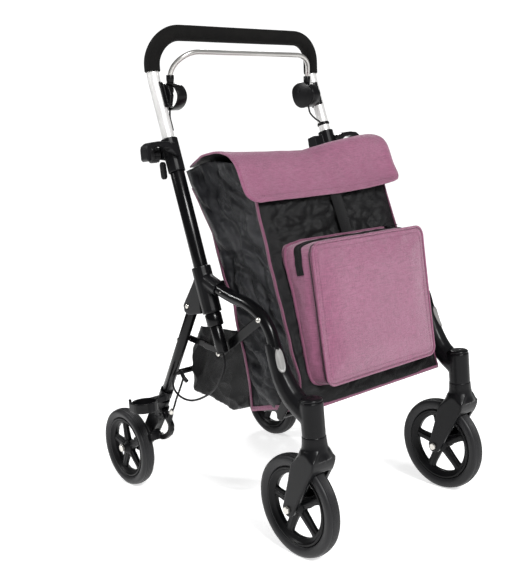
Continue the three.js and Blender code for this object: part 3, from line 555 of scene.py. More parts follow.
def make_tubes():
    for word, side in SIDES:
        stepped = merge([
            tube_mesh([on_tube(side, s) for s in (226, 450, 592)], 0.014, 40, 0.06),
            tube_mesh([on_tube(side, s) for s in (568, 580, 593)], 0.016, 40, 0.12),
            tube_mesh([on_tube(side, s) for s in (590, 620, 645)], 0.0115, 36, 0.1),
        ])
        main = from_data(f"main_tube_{word}_smooth", *stepped, BLACK_PAINT, "frame")
        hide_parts(f"main_tube_{word}")
        path = curve_points([P(side * TUBE_X, y, z) for y, z in ARCH], 8)
        arch = tube(f"arch_tube_{word}_smooth", path, 0.0115, BLACK_PAINT, "frame", 32)
        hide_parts(f"arch_tube_{word}")
        eye = [(0.0046, -0.0112), (0.0118, -0.0112), (0.0118, 0.0112), (0.0046, 0.0112)]
        leg = merge([
            tube_mesh([on_leg(side, s) for s in (2, 150, 304)], 0.011, 32),
            lathe_mesh(eye, at(side, LEG_PIVOT), (1, 0, 0), 32),
        ])
        made = from_data(f"rear_leg_{word}_smooth", *leg, BLACK_PAINT, "rear_legs")
        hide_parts(f"rear_leg_{word}")
    inset = Vector((0.0115, 0, 0))
    bars = (
        ("rear_cross_tube", "frame", P(-188.6, 243, 472), P(188.6, 243, 472), 0.009),
        ("leg_cross_bar", "rear_legs", on_leg(-1, 204) + inset, on_leg(1, 204) - inset, 0.006),
    )
    for node, body, a, b, radius in bars:
        bar = tube(node + "_smooth", [a, (a + b) / 2, b], radius, BLACK_PAINT, body, 24)
        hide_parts(node)


CASTINGS = (
    ("brake_housing", 1.2, 5), ("handle_collar", 1.2, 6), ("cane_hook", 1.3, 4), ("side_casting", 1.3, 6),
    ("front_casting", 1.6, 14), ("caster_fork", 1.5, 9), ("rear_casting", 1.4, 6), ("brake_arm", 1.2, 5),
)
FORK_COWL = [(0.0001, 0.0405), (0.0214, 0.0405), (0.0222, 0.026), (0.0246, 0.012), (0.0285, 0), (0.0001, 0)]


def make_mouldings():
    """Smooth copies of the CAD's castings and small parts, each with its own softness."""
    for word, side in SIDES:
        cowl = lathe_mesh(FORK_COWL, P(side * POST[0], POST[1], 195.5), (0, 0, 1), 40)
        for node, voxel, rounds in CASTINGS:
            more = cowl if node == "caster_fork" else None
            moulded(f"{node}_{word}", BLACK_PLASTIC, voxel, rounds, more)
        for node in ("side_brace", "stay_front", "stay_rear"):
            moulded(f"{node}_{word}", BLACK_PAINT, 1.2, 2)
        moulded(f"front_axle_{word}", STEEL, 0.9, 2)
        moulded(f"rear_axle_{word}", STEEL, 0.9, 3)
    moulded("cane_cup", BLACK_PLASTIC, 1.1, 3)
    moulded("fold_lever", BLACK_PLASTIC, 0.9, 5)
    moulded("zip_pull", BLACK_PLASTIC, 0.6, 2)
    moulded("front_cross_bar", BLACK_PAINT, 1.5, 3)


def egg(grow, steps=26):
    """Outline of a loop brake lever in the side plane, grown or shrunk, as (y, z) in millimetres."""
    y, z = 305, 848.5
    front, top, rear, bottom = y + 33 + grow, z + 34 + grow, y - 35 - grow, z - 37 - grow
    knots = [(front, z + 8), (front + 1, top - 2), (rear + 13, top + 2), (rear + 2, z + 2),
             (rear - 3, bottom + 9), (front - 1, bottom - 9), (front, z + 8)]
    out = []
    for start in (0, 3):
        for i in range(steps):
            t = i / steps
            shares = ((1 - t) ** 3, 3 * t * (1 - t) ** 2, 3 * t * t * (1 - t), t ** 3)
            four = knots[start:start + 4]
            out.append(tuple(sum(share * knot[k] for share, knot in zip(shares, four)) for k in (0, 1)))
    return out


# How far the lever's outline grows at each distance from the middle of the walker.
LEVER_SECTION = (
    (0, 170.2), (0, 189.8), (-0.6, 190.8), (-1.4, 191), (-3.4, 191), (-4.2, 190.6),
    (-4.6, 189.6), (-4.6, 170.4), (-4.2, 169.4), (-3.4, 169), (-1.4, 169), (-0.6, 169.3),
)
LEVER_COVER = ((-3, 172.6), (1.5, 170), (2, 168.6), (1.2, 167.2), (-1, 166.4))


def make_levers():
    """Loop levers: a rounded egg-shaped ring with a socket for the bow; the left one carries a cover disc."""
    for word, side in SIDES:
        outlines = [(egg(grow), x) for grow, x in LEVER_SECTION]
        loop = [[P(side * x, *outline[i]) for outline, x in outlines] for i in range(len(outlines[0][0]))]
        x, y, z = BOW_FOOT
        socket = [P(side * x, y + math.sin(BOW_LEAN) * h, z + math.cos(BOW_LEAN) * h) for h in (-15, -4, 4.6)]
        boss = [P(side * x, 321.2, 863.2) for x in (171, 180, 190.5)]
        arm = [P(side * 180, y, z) for y, z in ((321.2, 863.2), (330, 862.5), (337.4, 858))]
        parts = [
            lofted(loop, closed=True), tube_mesh(socket, [0.0062, 0.0076, 0.0076], 28, 0.1),
            tube_mesh(boss, 0.009, 28, 0.1), tube_mesh(arm, 0.0055, 16, 0.1),
        ]
        if word == "left":
            parts.append(lofted([[P(x, *q) for q in egg(grow)] for grow, x in LEVER_COVER]))
        lever = trim(f"brake_lever_{word}_smooth", merge(parts), BLACK_PLASTIC, "brake_bar")
        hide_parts(f"brake_lever_{word}")
    screw = cap_mesh(P(166.4, 316, 858), (-1, 0, 0), 0.003, 0.0015)
    trim("lever_screw_left", screw, CABLE, "brake_bar", "black_plastic")


def make_knobs():
    """Ribbed hand knobs with a flat cap."""
    profile = [(0.0, 0), (0.014, 0), (0.016, 0.0012)]
    for i in range(4):
        h = 0.0022 + i * 0.003
        profile += [(0.016, h), (0.0146, h + 0.0006), (0.0146, h + 0.0012), (0.016, h + 0.0018)]
    profile += [(0.0158, 0.0148), (0.014, 0.016), (0.0, 0.0162)]
    for word, side in SIDES:
        centre = at(side, KNOB)
        verts, faces = lathe_mesh([(r, side * h) for r, h in profile], centre, (1, 0, 0), 60)
        for i, v in enumerate(verts):
            groove = i // len(profile) % 6 < 2
            if groove and profile[i % len(profile)][0] > 0.0145:
                axis = Vector((v.x, centre.y, centre.z))
                verts[i] = axis + (v - axis) * 0.94
        knob = f"height_knob_{word}"
        made = trim(knob + "_ribbed", (verts, faces), BLACK_PLASTIC, f"knob_{word}")
        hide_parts(knob)


# ---- wheels -----------------------------------------------------------------------------------
TYRE_INSIDE = 0.775


def tyre_profile(radius, width, grooves):
    """Section of a tyre with grooves round its tread."""
    half, inner = width / 2, radius * TYRE_INSIDE
    wall = [(inner, -half * 0.66), (inner + 0.002, -half * 0.78), (radius * 0.84, -half * 0.95),
            (radius * 0.9, -half), (radius * 0.945, -half * 0.95), (radius * 0.975, -half * 0.8)]
    reach = half * 0.65
    tread = []
    for i in range(grooves):
        for share, depth in ((0.08, 0), (0.62, 0), (0.72, 0.0011), (0.95, 0.0011)):
            h = reach * (2 * (i + share) / grooves - 1)
            tread.append((radius - 0.0016 * (h / reach) ** 2 - depth, h))
    return wall + tread[:-2] + [(r, -h) for r, h in reversed(wall)]


def spoke_mesh(centre, angle, r0, r1, w0, w1, d0, d1, steps=6):
    """One tapered spoke with a raised rib on both faces."""
    out = Vector((0, math.cos(angle), math.sin(angle)))
    side = Vector((0, -math.sin(angle), math.cos(angle)))
    section = mirrored([(-1, -0.6), (-0.45, -0.7), (-0.3, -1), (0.3, -1), (0.45, -0.7), (1, -0.6)])
    rings = []
    for i in range(steps + 1):
        t = i / steps
        w = (w0 + (w1 - w0) * t) * (1 + 0.5 * max(0, t - 0.8) / 0.2)
        d = d0 + (d1 - d0) * t
        middle = Vector(centre) + out * (r0 + (r1 - r0) * t)
        rings.append([middle + side * (a * w) + Vector((b * d, 0, 0)) for a, b in section])
    return lofted(rings)


def make_wheel(place, word, centre, radius, width, grooves):
    half, body = width / 2, f"{place}_wheel_{word}"
    tyre = lathe_mesh(tyre_profile(radius, width, grooves), centre, (1, 0, 0), 112)
    tyre = trim(f"{place}_tyre_{word}_grooved", tyre, TYRE, body)
    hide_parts(f"{place}_tyre_{word}")
    outer = radius * TYRE_INSIDE - 0.0003
    lip = radius * 0.63
    ring = mirrored([(outer, -half * 0.7), (outer - 0.0015, -half * 0.8), (outer - 0.004, -half * 0.8),
                     (outer - 0.0055, -half * 0.62), (lip + 0.006, -half * 0.5), (lip + 0.0015, -half * 0.36),
                     (lip, -half * 0.3)])
    hub = mirrored([(0.0056, -half - 0.001), (0.009, -half - 0.001), (0.0105, -half + 0.001),
                    (0.0145, -half * 0.55), (0.0175, -half * 0.45)])
    parts = [lathe_mesh(ring, centre, (1, 0, 0), 96), lathe_mesh(hub, centre, (1, 0, 0), 48)]
    for i in range(5):
        turn = i / 5 * 2 * math.pi + 0.2
        parts.append(spoke_mesh(centre, turn, 0.012, lip + 0.003, 0.0095, 0.0078, half * 0.5, half * 0.36))
    rim = trim(f"{place}_rim_{word}_spoked", merge(parts), RIM_PLASTIC, body)
    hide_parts(f"{place}_rim_{word}")
    bevel = rim.modifiers.new("bevel", "BEVEL")
    bevel.width, bevel.segments, bevel.limit_method, bevel.angle_limit = 0.0007, 2, "ANGLE", math.radians(40)
    applied(rim)


def make_wheels():
    wheels = (("front", FRONT_WHEEL, FRONT_TYRE, 7), ("rear", REAR_WHEEL, REAR_TYRE, 5))
    for word, side in SIDES:
        for place, hub, width, grooves in wheels:
            make_wheel(place, word, at(side, hub), hub[2] / 1000, width / 1000, grooves)


# ---- bag --------------------------------------------------------------------------------------
FRONT = [(-12, 264), (12, 339), (32, 406), (61, 506), (80, 575), (97, 640), (112, 690), (122, 704)]
BACK = [(147, 237), (150, 290), (156, 347), (170, 398), (174, 445), (200, 492), (214, 544), (222, 581),
        (268, 672), (280, 700)]
BAG_HALF = 176
BAG_FOOT, BAG_HEIGHT = 264, 440
BAG_ROWS = 124
FRONT_STEPS, SIDE_STEPS, BACK_STEPS = 76, 58, 40
# Turn, pitch, length, depth, sharpness and seed of the creases in a side panel.
CREASES = (
    (50, 44, 190, 9.5, 5.0, 1.7), (32, 25, 110, 5.2, 4.0, 5.3), (70, 30, 120, 5.4, 4.0, 8.9),
    (10, 13, 55, 2.0, 3.0, 3.3),
)


def along_line(points, t):
    """The point at a share of a polyline's length."""
    p = np.array(points, float)
    seg = np.linalg.norm(np.diff(p, axis=0), axis=1)
    shares = np.concatenate([[0], np.cumsum(seg)]) / seg.sum()
    return np.array([np.interp(t, shares, p[:, i]) for i in range(p.shape[1])])


def front_at(z):
    return float(np.interp(z, [q[1] for q in FRONT], [q[0] for q in FRONT]))


def bulge_at(x, z):
    """How far the filled bag's front stands out, in mm."""
    upright = math.sin(math.pi * clamped((z - BAG_FOOT) / BAG_HEIGHT))
    return 24 * math.sqrt(upright) * (1 - min(1, abs(x) / BAG_HALF) ** 6)


def edge_x(y, z):
    """Half width of the bag in mm, which grows in front of the side seam."""
    seam = 97 + (640 - z) * 50 / 395
    return BAG_HALF + max(0, (seam - y) * 13 / 157)


def corner_pull(t):
    """How far the front corners are pulled forward by the binding, in mm."""
    return 10 * smoothed(t, 0, 0.15) * (1 - smoothed(t, 0.86, 0.97))


def side_fold(y, z, side):
    """Depth in mm of the creases in a side panel, which run from its rear top down to its front bottom."""
    out = 7.5
    for turn, pitch, length, depth, sharp, seed in CREASES:
        a = math.radians(turn)
        u, v = y * math.cos(a) + z * math.sin(a), -y * math.sin(a) + z * math.cos(a)
        v += 20 * wander(y / 80, z / 80, side * 3.1 + seed)
        out -= depth * ridged(v / pitch, u / length, side * seed, sharp)
    return out


def hem_gather(s, t, seed):
    """Outward mm of the gathered tunnel hem along the bag's top edge and the small puckers under it."""
    ripple = ridged(s * 9, t * 1.5, seed, 2) - 0.5
    under = clamped((t - 0.72) / 0.2) * (1 if t < 0.93 else 0.5)
    band = 2.2 if t > 0.935 else 0
    return band + 3.4 * ripple * under


def bag_ring():
    """Panel, share across and share from front to back of each point round the bag."""
    ring = [("front", -1 + 2 * k / FRONT_STEPS, 0.0) for k in range(FRONT_STEPS)]
    ring += [("left", 1.0, k / SIDE_STEPS) for k in range(SIDE_STEPS)]
    ring += [("back", 1 - 2 * k / BACK_STEPS, 1.0) for k in range(BACK_STEPS)]
    return ring + [("right", -1.0, 1 - k / SIDE_STEPS) for k in range(SIDE_STEPS)]


def bag_point(panel, x, s, t, y, z):
    """A point of the bag with its fill, creases and puckers, at a share t of its height."""
    half = edge_x(y, z)
    px = x * half
    fade = min(1, t / 0.06) * min(1, (1 - t) / 0.04 + 0.25)
    lean_back = 10 * smoothed(t, 0.7, 1)
    if panel == "front":
        y -= bulge_at(px, z)
        wrinkle = 5.4 * ridged(px / 80 + z / 60, z / 30 - px / 90, 7.7, 4)
        wrinkle += 3.4 * ridged(px / 34 - z / 50, z / 22, 2.2, 3) + 1.2 * ridged(px / 16, z / 14, 4.1, 2)
        y += (wrinkle - 1.5) * fade * (1 - abs(x) ** 8) - corner_pull(t) * abs(x) ** 6
        px -= math.copysign(0.5 * corner_pull(t) * abs(x) ** 6, x)
    elif panel == "back":
        y += lean_back * x ** 4 + 4 * (1 - x ** 4) * (ridged(px / 70, z / 50, 9.1, 2.0) - 0.6) * fade
    else:
        edge = math.sin(math.pi * clamped(s))
        seam = s < 0.02 or s > 0.98
        puff = 4 * edge * math.sin(math.pi * min(1, t + 0.08)) + hem_gather(s, t, x * 6.1) * min(1, edge * 3)
        corner = corner_pull(t) * (1 - s) ** 2
        fold = 1.25 * side_fold(y, z, x) * min(1, edge * 2.2) * fade
        out = 0 if seam else puff + fold + 5 * smoothed(t, 0.6, 1) * s
        px = x * (half - 0.5 * corner + out)
        y += lean_back * s ** 2 - corner
        z += 13 * edge * max(0, (t - 0.9) / 0.1) ** 1.5
        z += 4 * wander(s * 3.1, x * 2.0, 4.4) * edge * max(0, (t - 0.85) / 0.15)
    return P(px, y, z)


def make_bag():
    """Open-topped cloth shell of four panels and a bottom."""
    verts, ring = [], bag_ring()
    for i in range(BAG_ROWS + 1):
        t = i / BAG_ROWS
        front, back = along_line(FRONT, t), along_line(BACK, t)
        verts += [bag_point(panel, x, s, t, *(front + (back - front) * s)) for panel, x, s in ring]
    n = len(ring)
    faces = ring_faces(BAG_ROWS + 1, n)
    walls, centre = len(faces), len(verts)
    verts.append(P(0, 68, 256))
    faces += [(centre, (k + 1) % n, k) for k in range(n)]
    bag = from_data("bag_shell", verts, faces, [NYLON, BLACK_CLOTH])
    for face in bag.data.polygons:
        face.material_index = 1 if face.index < walls and face.index % n < FRONT_STEPS else 0
    recalc(bag, weld=False)
    thick = bag.modifiers.new("cloth", "SOLIDIFY")
    thick.thickness, thick.offset = 0.0014, -1
    stand_in(applied(bag), "bag_body")


def make_bag_edges():
    """Bound seams up the bag's corners, the hems of its side panels and the hem across its front."""
    up = (0, 0.97, -0.24)
    for word, side in SIDES:
        line = []
        for t in np.linspace(0.005, 0.93, 60):
            y, z = along_line(FRONT, t)
            wave = 2.4 * wander(t * 11, side, 0.4)
            pull = corner_pull(t)
            line.append((side * (edge_x(y, z) + 1.0 + wave * 0.6 - 0.5 * pull), y + 1.2 + wave - pull, z))
        strip(f"front_piping_{word}", line, up, 7.5, 1.8, BINDING_PAINTED_SHADE)
        line = []
        for t in np.linspace(0.005, 0.93, 50):
            y, z = along_line(BACK, t)
            wave = wander(t * 11, side, 5.4)
            y_out = y - 2.4 + wave + 10 * smoothed(t, 0.7, 1)
            line.append((side * (edge_x(y, z) + 1.0 + wave * 0.8), y_out, z))
        strip(f"back_piping_{word}", line, up, 6.5, 1.6, BINDING_PAINTED_SHADE)
        hem = [(147, 237), (120, 243.5), (66, 256), (30, 260), (-11, 264)]
        line = [(side * (edge_x(y, z) + 1.6), y, z + 3) for y, z in hem]
        strip(f"side_hem_{word}", line, (0, 0, 1), 9, 1.4, MAUVE)
    half = edge_x(-12, 264)
    line = [(x, -13.2, 265.5) for x in np.linspace(-half, half, 12)]
    strip("front_hem", line, (0, 0.28, 0.96), 6, 1.6, BINDING_PAINTED_SHADE)


def strip(name, centre_line, up, width, thickness, material):
    """A flat band with rounded edges along a line, its width along the given direction."""
    path = [Vector(q) for q in curve_points([P(*q) for q in centre_line], 5)]
    up = Vector(up).normalized()
    section = mirrored([(-0.5, -0.2), (-0.46, -0.5), (0.46, -0.5), (0.5, -0.2)])
    rings = []
    for i, q in enumerate(path):
        ahead = (path[min(i + 1, len(path) - 1)] - path[max(i - 1, 0)]).normalized()
        out = ahead.cross(up).normalized()
        rise = out.cross(ahead).normalized()
        rings.append([q + rise * (a * width / 1000) + out * (b * thickness / 1000) for a, b in section])
    trim(name, lofted(rings), material, "frame")


def stitches(name, line, material, body, pitch=5.5, length=3.6, radius=0.45):
    """A row of short raised stitches along a line of row-frame points."""
    pts = [Vector(q) for q in line]
    reach = np.cumsum([0] + [(b - a).length for a, b in zip(pts, pts[1:])])
    p = np.array([list(q) for q in pts])
    parts = []
    start = 0.0
    while start + length / 1000 < reach[-1]:
        places = (start, start + length / 2000, start + length / 1000)
        ends = [Vector([np.interp(place, reach, p[:, i]) for i in range(3)]) for place in places]
        parts.append(tube_mesh(ends, radius / 1000, 6, 0.4))
        start += pitch / 1000
    return from_data(name, *merge(parts), material, body)


# Lid: same sheet as the CAD, finer, with rounded lower corners and a bound edge.
FLAP = [(283, 708), (267, 712), (221, 722), (188, 728), (163, 730), (139, 726), (122, 719), (109, 707),
        (100, 691), (91, 667), (82, 650), (72, 636)]
FLAP_HALF = 197
FLAP_PATH = curve_points([(y, z) for y, z in FLAP], 12)
FLAP_LENGTH = sum(np.linalg.norm(b - a) for a, b in zip(FLAP_PATH, FLAP_PATH[1:]))


def lid_half(x, t):
    """Half width of the lid in mm: narrow at its hinge, notched on the left, round at its lower corners."""
    rear, flare = (166, max(0, (t - 0.22) / 0.12)) if x > 0 else (172, t / 0.3)
    widen = rear / FLAP_HALF + (1 - rear / FLAP_HALF) * min(1, flare)
    corner, left = 24, (1 - t) * FLAP_LENGTH
    narrow = corner - math.sqrt(max(0, corner ** 2 - (corner - left) ** 2)) if left < corner else 0
    return FLAP_HALF * widen - narrow


def flap_point(x, t, lift=0.0):
    """A point of the lid at a share of its half width and of its length, lifted off it in mm."""
    y, z = along_line(FLAP_PATH, t)
    ahead = along_line(FLAP_PATH, min(1, t + 0.01)) - along_line(FLAP_PATH, max(0, t - 0.01))
    ahead /= np.linalg.norm(ahead)
    dip = 30 * (1 - x ** 2) ** 1.5 * math.sin(math.pi * t / 0.62) ** 2 if t < 0.62 else 0
    crest, drop = 17 * math.sin(0.62 * math.pi * max(0, x)), 12 * max(0, x) ** 2
    share = smoothed(t, 0.6, 0.8)
    raised = (crest + (drop - crest) * share) * min(1, t / 0.3)
    ripple = 1.8 * wander(x * 2.2, t * 3.0, 1.3) * min(1, t / 0.1)
    ripple += 0.9 * wander(x * 6.2, t * 7.0, 4.3) * min(1, t / 0.1)
    off = ripple + lift
    return P(x * lid_half(x, t), y - raised + ahead[1] * off, z + raised - dip - ahead[0] * off)


def make_flap():
    """The lid: one draped sheet with a raised hem, a binding on its edge and a row of stitches."""
    nx, nt = 88, 110
    verts = []
    for j in range(nt + 1):
        for i in range(nx + 1):
            x, t = -1 + 2 * i / nx, j / nt
            inset = min((1 - abs(x)) * FLAP_HALF, (1 - t) * FLAP_LENGTH)
            pucker = 0.35 * wander(x * 26, t * 34, 2.0) if inset < 16 else 0
            verts.append(flap_point(x, t, (0.7 if inset < 9 else -0.5 if inset < 11.5 else 0) + pucker))
    corners = [j * (nx + 1) + i for j in range(nt) for i in range(nx)]
    faces = [(a, a + nx + 1, a + nx + 2, a + 1) for a in corners]
    lid = from_data("bag_lid", verts, faces, [MAUVE, BLACK_CLOTH])
    thick = lid.modifiers.new("cloth", "SOLIDIFY")
    thick.thickness, thick.offset, thick.material_offset = 0.0022, 0, 1
    thick.material_offset_rim = 0
    stand_in(applied(lid), "bag_flap")
    ends = np.linspace(0.03, 1, 70)
    rim = [flap_point(-1, t) for t in ends] + [flap_point(x, 1) for x in np.linspace(-0.97, 0.97, 40)]
    rim += [flap_point(1, t) for t in ends[::-1]]
    binding = tube("bag_lid_binding", rim, 0.002, MAUVE, "flap", 12, 0.3)
    inset, lift = 0.947, 0.9
    line = [flap_point(-inset, t, lift) for t in np.linspace(0.04, 0.95, 80)]
    line += [flap_point(x, 0.957, lift) for x in np.linspace(-0.93, 0.93, 60)]
    line += [flap_point(inset, t, lift) for t in np.linspace(0.95, 0.04, 80)]
    thread = stitches("bag_lid_stitching", line, STITCH, "flap", radius=0.3)


def puffed(obj, caps, held, frames=18, pressure=3.0):
    """Inflates a closed cloth form; held points stay and each other one moves at most its cap in metres."""
    start = np.array([v.co for v in obj.data.vertices])
    obj.vertex_groups.new(name="held").add(held, 1.0, "ADD")
    settings = obj.modifiers.new("cloth", "CLOTH").settings
    settings.vertex_group_mass = "held"
    settings.use_pressure, settings.uniform_pressure_force = True, pressure
    settings.effector_weights.gravity = 0
    settings.quality = 5
    scene = bpy.context.scene
    scene.frame_start, scene.frame_end = 1, frames
    for f in range(1, frames + 1):
        scene.frame_set(f)
    dg = bpy.context.evaluated_depsgraph_get()
    end = np.array([v.co for v in obj.evaluated_get(dg).data.vertices])
    obj.modifiers.clear()
    scene.frame_set(1)
    move = end - start
    size = np.linalg.norm(move, axis=1, keepdims=True)
    move *= np.minimum(1, np.array(caps).reshape(-1, 1) / np.maximum(size, 1e-9))
    obj.data.vertices.foreach_set("co", (start + move).astype(np.float32).ravel())
    obj.data.update()


POCKET_NX, POCKET_NY, POCKET_NZ = 60, 12, 52
POCKET_HALF, POCKET_FOOT, POCKET_TOP = 148, 304.5, 554.5


def pocket_front(z):
    return float(np.interp(z, [303, 557], [-43.5, -26.5]))


def rounded(u, v, hx, hz, r):
    """A point of a square, mapped to a rectangle with round corners."""
    x, z = abs(u) * hx, abs(v) * hz
    dx, dz = x - (hx - r), z - (hz - r)
    if dx > 0 and dz > 0:
        size = max(dx, dz) / math.hypot(dx, dz)
        x, z = hx - r + dx * size, hz - r + dz * size
    return math.copysign(x, u), math.copysign(z, v)


def pocket_point(i, j, k):
    """A point of the pocket's grid: i across, j from its front to the bag, k up."""
    middle, reach = (POCKET_TOP + POCKET_FOOT) / 2, (POCKET_TOP - POCKET_FOOT) / 2
    x, up = rounded(-1 + 2 * i / POCKET_NX, -1 + 2 * k / POCKET_NZ, POCKET_HALF, reach, 17)
    z = middle + up
    front, back = pocket_front(z) + 3.0, front_at(z) - bulge_at(x, z) + 6.0
    spread = 11 * (j / POCKET_NY) * (1 - smoothed(z, 330, 480)) * abs(x / POCKET_HALF) ** 3
    return P(x + math.copysign(spread, x), front + (back - front) * j / POCKET_NY, z)


def pocket_grid():
    """Points and faces of the closed pocket, and which point each place of its grid has."""
    verts, faces, index = [], [], {}

    def quad(*places):
        for place in places:
            if place not in index:
                index[place] = len(verts)
                verts.append(pocket_point(*place))
        faces.append(tuple(index[place] for place in places))

    for i in range(POCKET_NX):
        for k in range(POCKET_NZ):
            for j in (0, POCKET_NY):
                quad((i, j, k), (i + 1, j, k), (i + 1, j, k + 1), (i, j, k + 1))
        for j in range(POCKET_NY):
            for k in (0, POCKET_NZ):
                quad((i, j, k), (i + 1, j, k), (i + 1, j + 1, k), (i, j + 1, k))
    for j in range(POCKET_NY):
        for k in range(POCKET_NZ):
            for i in (0, POCKET_NX):
                quad((i, j, k), (i, j + 1, k), (i, j + 1, k + 1), (i, j, k + 1))
    return verts, faces, index


def pocket_border(inset):
    """Places (i, k) round the pocket's front, from its right top corner on."""
    low, right, top = inset, POCKET_NX - inset, POCKET_NZ - inset
    line = [(i, top) for i in range(low, right)] + [(right, k) for k in range(top, low, -1)]
    return line + [(i, low) for i in range(right, low, -1)] + [(low, k) for k in range(low, top)]


def joined_up(line):
    return line + line[:1]


def crumpled(c, i, j, k):
    """A point of the puffed pocket with its waves, creases and raised upper edge."""
    edge = min(i, POCKET_NX - i, k, POCKET_NZ - k)
    if j == 0:
        wave, tight = wander(c.x * 13, c.y * 30, c.z * 10), wander(c.x * 52, c.y * 60, c.z * 52)
        c.y += (0.0018 * wave + 0.0011 * tight * (edge < 7)) * min(1, edge / 2)
        c.z += 0.003 * max(0, 1 - (POCKET_NZ - k) / 5)
    elif j < POCKET_NY:
        out = Vector((math.copysign(1, c.x), 0, 0)) if i in (0, POCKET_NX) else Vector((0, 0, 1 if k else -1))
        crease = ridged(c.x * 20, c.y * 26, c.z * 17, 2) - 0.6
        c += out * (0.0016 * crease * math.sin(math.pi * j / POCKET_NY))
        if k == POCKET_NZ:
            c.z += 0.003 * max(0, 1 - j / 4)
    return c


def make_pocket():
    """Box pocket: a closed cloth form, puffed, with corded front edges and a zip round its gusset."""
    verts, faces, index = pocket_grid()
    pocket = recalc(from_data("front_pocket_cloth", verts, faces, MAUVE), weld=False)
    caps, held = [0.0] * len(verts), []
    for (i, j, k), n in index.items():
        edge = min(i, POCKET_NX - i, k, POCKET_NZ - k)
        caps[n] = 0.001 + 0.005 * smoothed(edge, 0, 11) if j == 0 else 0.0015 if j < 2 else 0.0028
        if j == POCKET_NY:
            held.append(n)
    puffed(pocket, caps, held)
    co = [v.co.copy() for v in pocket.data.vertices]
    for place, n in index.items():
        co[n] = crumpled(co[n], *place)
    pocket.data.vertices.foreach_set("co", np.array(co, np.float32).ravel())
    pocket.data.update()
    stand_in(pocket, "front_pocket")
    ring = pocket_border(0)
    middle = P(0, 0, 430).z

    def around(share, lift):
        """The line round the gusset at a share of its depth, lifted off it in metres."""
        low = min(POCKET_NY - 1, int(share * POCKET_NY))
        line = []
        for i, k in ring:
            q = co[index[(i, low, k)]].lerp(co[index[(i, low + 1, k)]], share * POCKET_NY - low)
            u, v = max(0, abs(q.x) - 0.131), max(0, abs(q.z - middle) - 0.108)
            if i in (0, POCKET_NX) and k not in (0, POCKET_NZ) and v <= 0:
                u, v = 1, 0
            elif k in (0, POCKET_NZ) and u <= 0:
                u, v = 0, 1
            else:
                u, v = u + 1e-6, v + 1e-6
            out = Vector((math.copysign(u, q.x), 0, math.copysign(v, q.z - middle)))
            line.append(q + out.normalized() * lift)
        return line

    flange = [q + Vector((0, -0.0004, 0)) for q in joined_up(around(0.0, 0.0008))]
    inner = [co[index[(i, 0, k)]] + Vector((0, -0.0007, 0)) for i, k in joined_up(pocket_border(2))]
    tube("pocket_front_cord", flange, 0.0023, MAUVE, "frame", 12, 0)
    tube("pocket_side_seam", joined_up(around(0.11, 0.0003)), 0.0013, STITCH, "frame", 8, 0)
    stitches("pocket_stitching", inner, BINDING_PAINTED_SHADE, "frame", radius=0.3)
    tube("pocket_rear_binding", joined_up(around(0.84, 0.0004)), 0.003, BINDING_PAINTED_SHADE, "frame", 10, 0)
    upright, flat = around(0.42, 0.0006), around(0.49, 0.0006)
    zip_line = [a.lerp(b, smoothed(b.z, 0.53, 0.553)) for a, b in zip(upright, flat)]
    stop = int(POCKET_NZ * 0.8)
    run = zip_line[ring.index((0, stop)):] + zip_line[:ring.index((POCKET_NX, stop)) + 1]
    tape_along("pocket_zip_tape", run, 0.0085)
    stitches("pocket_zip_teeth", run, BLACK_PLASTIC, "frame", 2.6, 1.7, 1.5)


def tape_along(name, run, half):
    """Flat zip tape along a line, its width fore and aft."""
    rings = []
    for i, q in enumerate(run):
        ahead = (run[min(i + 1, len(run) - 1)] - run[max(i - 1, 0)]).normalized()
        wide = (Vector((0, 1, 0)) - ahead * ahead.y).normalized()
        up = ahead.cross(wide)
        rings.append([q + wide * a + up * b
                      for a, b in ((-half, -0.0006), (half, -0.0006), (half, 0.0006), (-half, 0.0006))])
    trim(name, lofted(rings), WEBBING, "frame", "black_plastic")


def make_pouch():
    """Rear pouch, softened from its CAD shape, with creases pushed into it."""
    pouch = softened("rear_pouch_cloth", "rear_pouch", BLACK_CLOTH, 3, 8)
    for v in pouch.data.vertices:
        c = v.co
        fold = ridged(c.x * 9 + c.z * 6, c.y * 16, c.z * 20, 2) - 0.6
        fold += 0.7 * ridged(c.x * 5, (c.y + c.z) * 21, (c.y - c.z) * 6, 4) - 0.4
        v.co += Vector((math.copysign(0.007, c.x) * (abs(c.x) > 0.166), 0.007 * (abs(c.x) < 0.166), 0)) * fold
    stand_in(pouch, "rear_pouch")
    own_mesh(pouch)


def make_strap():
    """Webbing that holds the lid down, between the lid and the pocket."""
    x = 18
    line = [(x, front_at(z) - bulge_at(x, z) - 2.8, z) for z in np.linspace(650, 556, 12)]
    strip("front_strap", line, (1, 0, 0), 29, 1.8, WEBBING)


# ---- small parts ------------------------------------------------------------------------------
def cap_mesh(centre, axis, radius, height):
    """A low domed head of a bolt or a cap."""
    profile = [(0.0001, 0), (radius, 0), (radius, height * 0.55), (radius * 0.86, height * 0.88),
               (radius * 0.5, height), (0.0001, height)]
    return lathe_mesh(profile, centre, axis, 28)


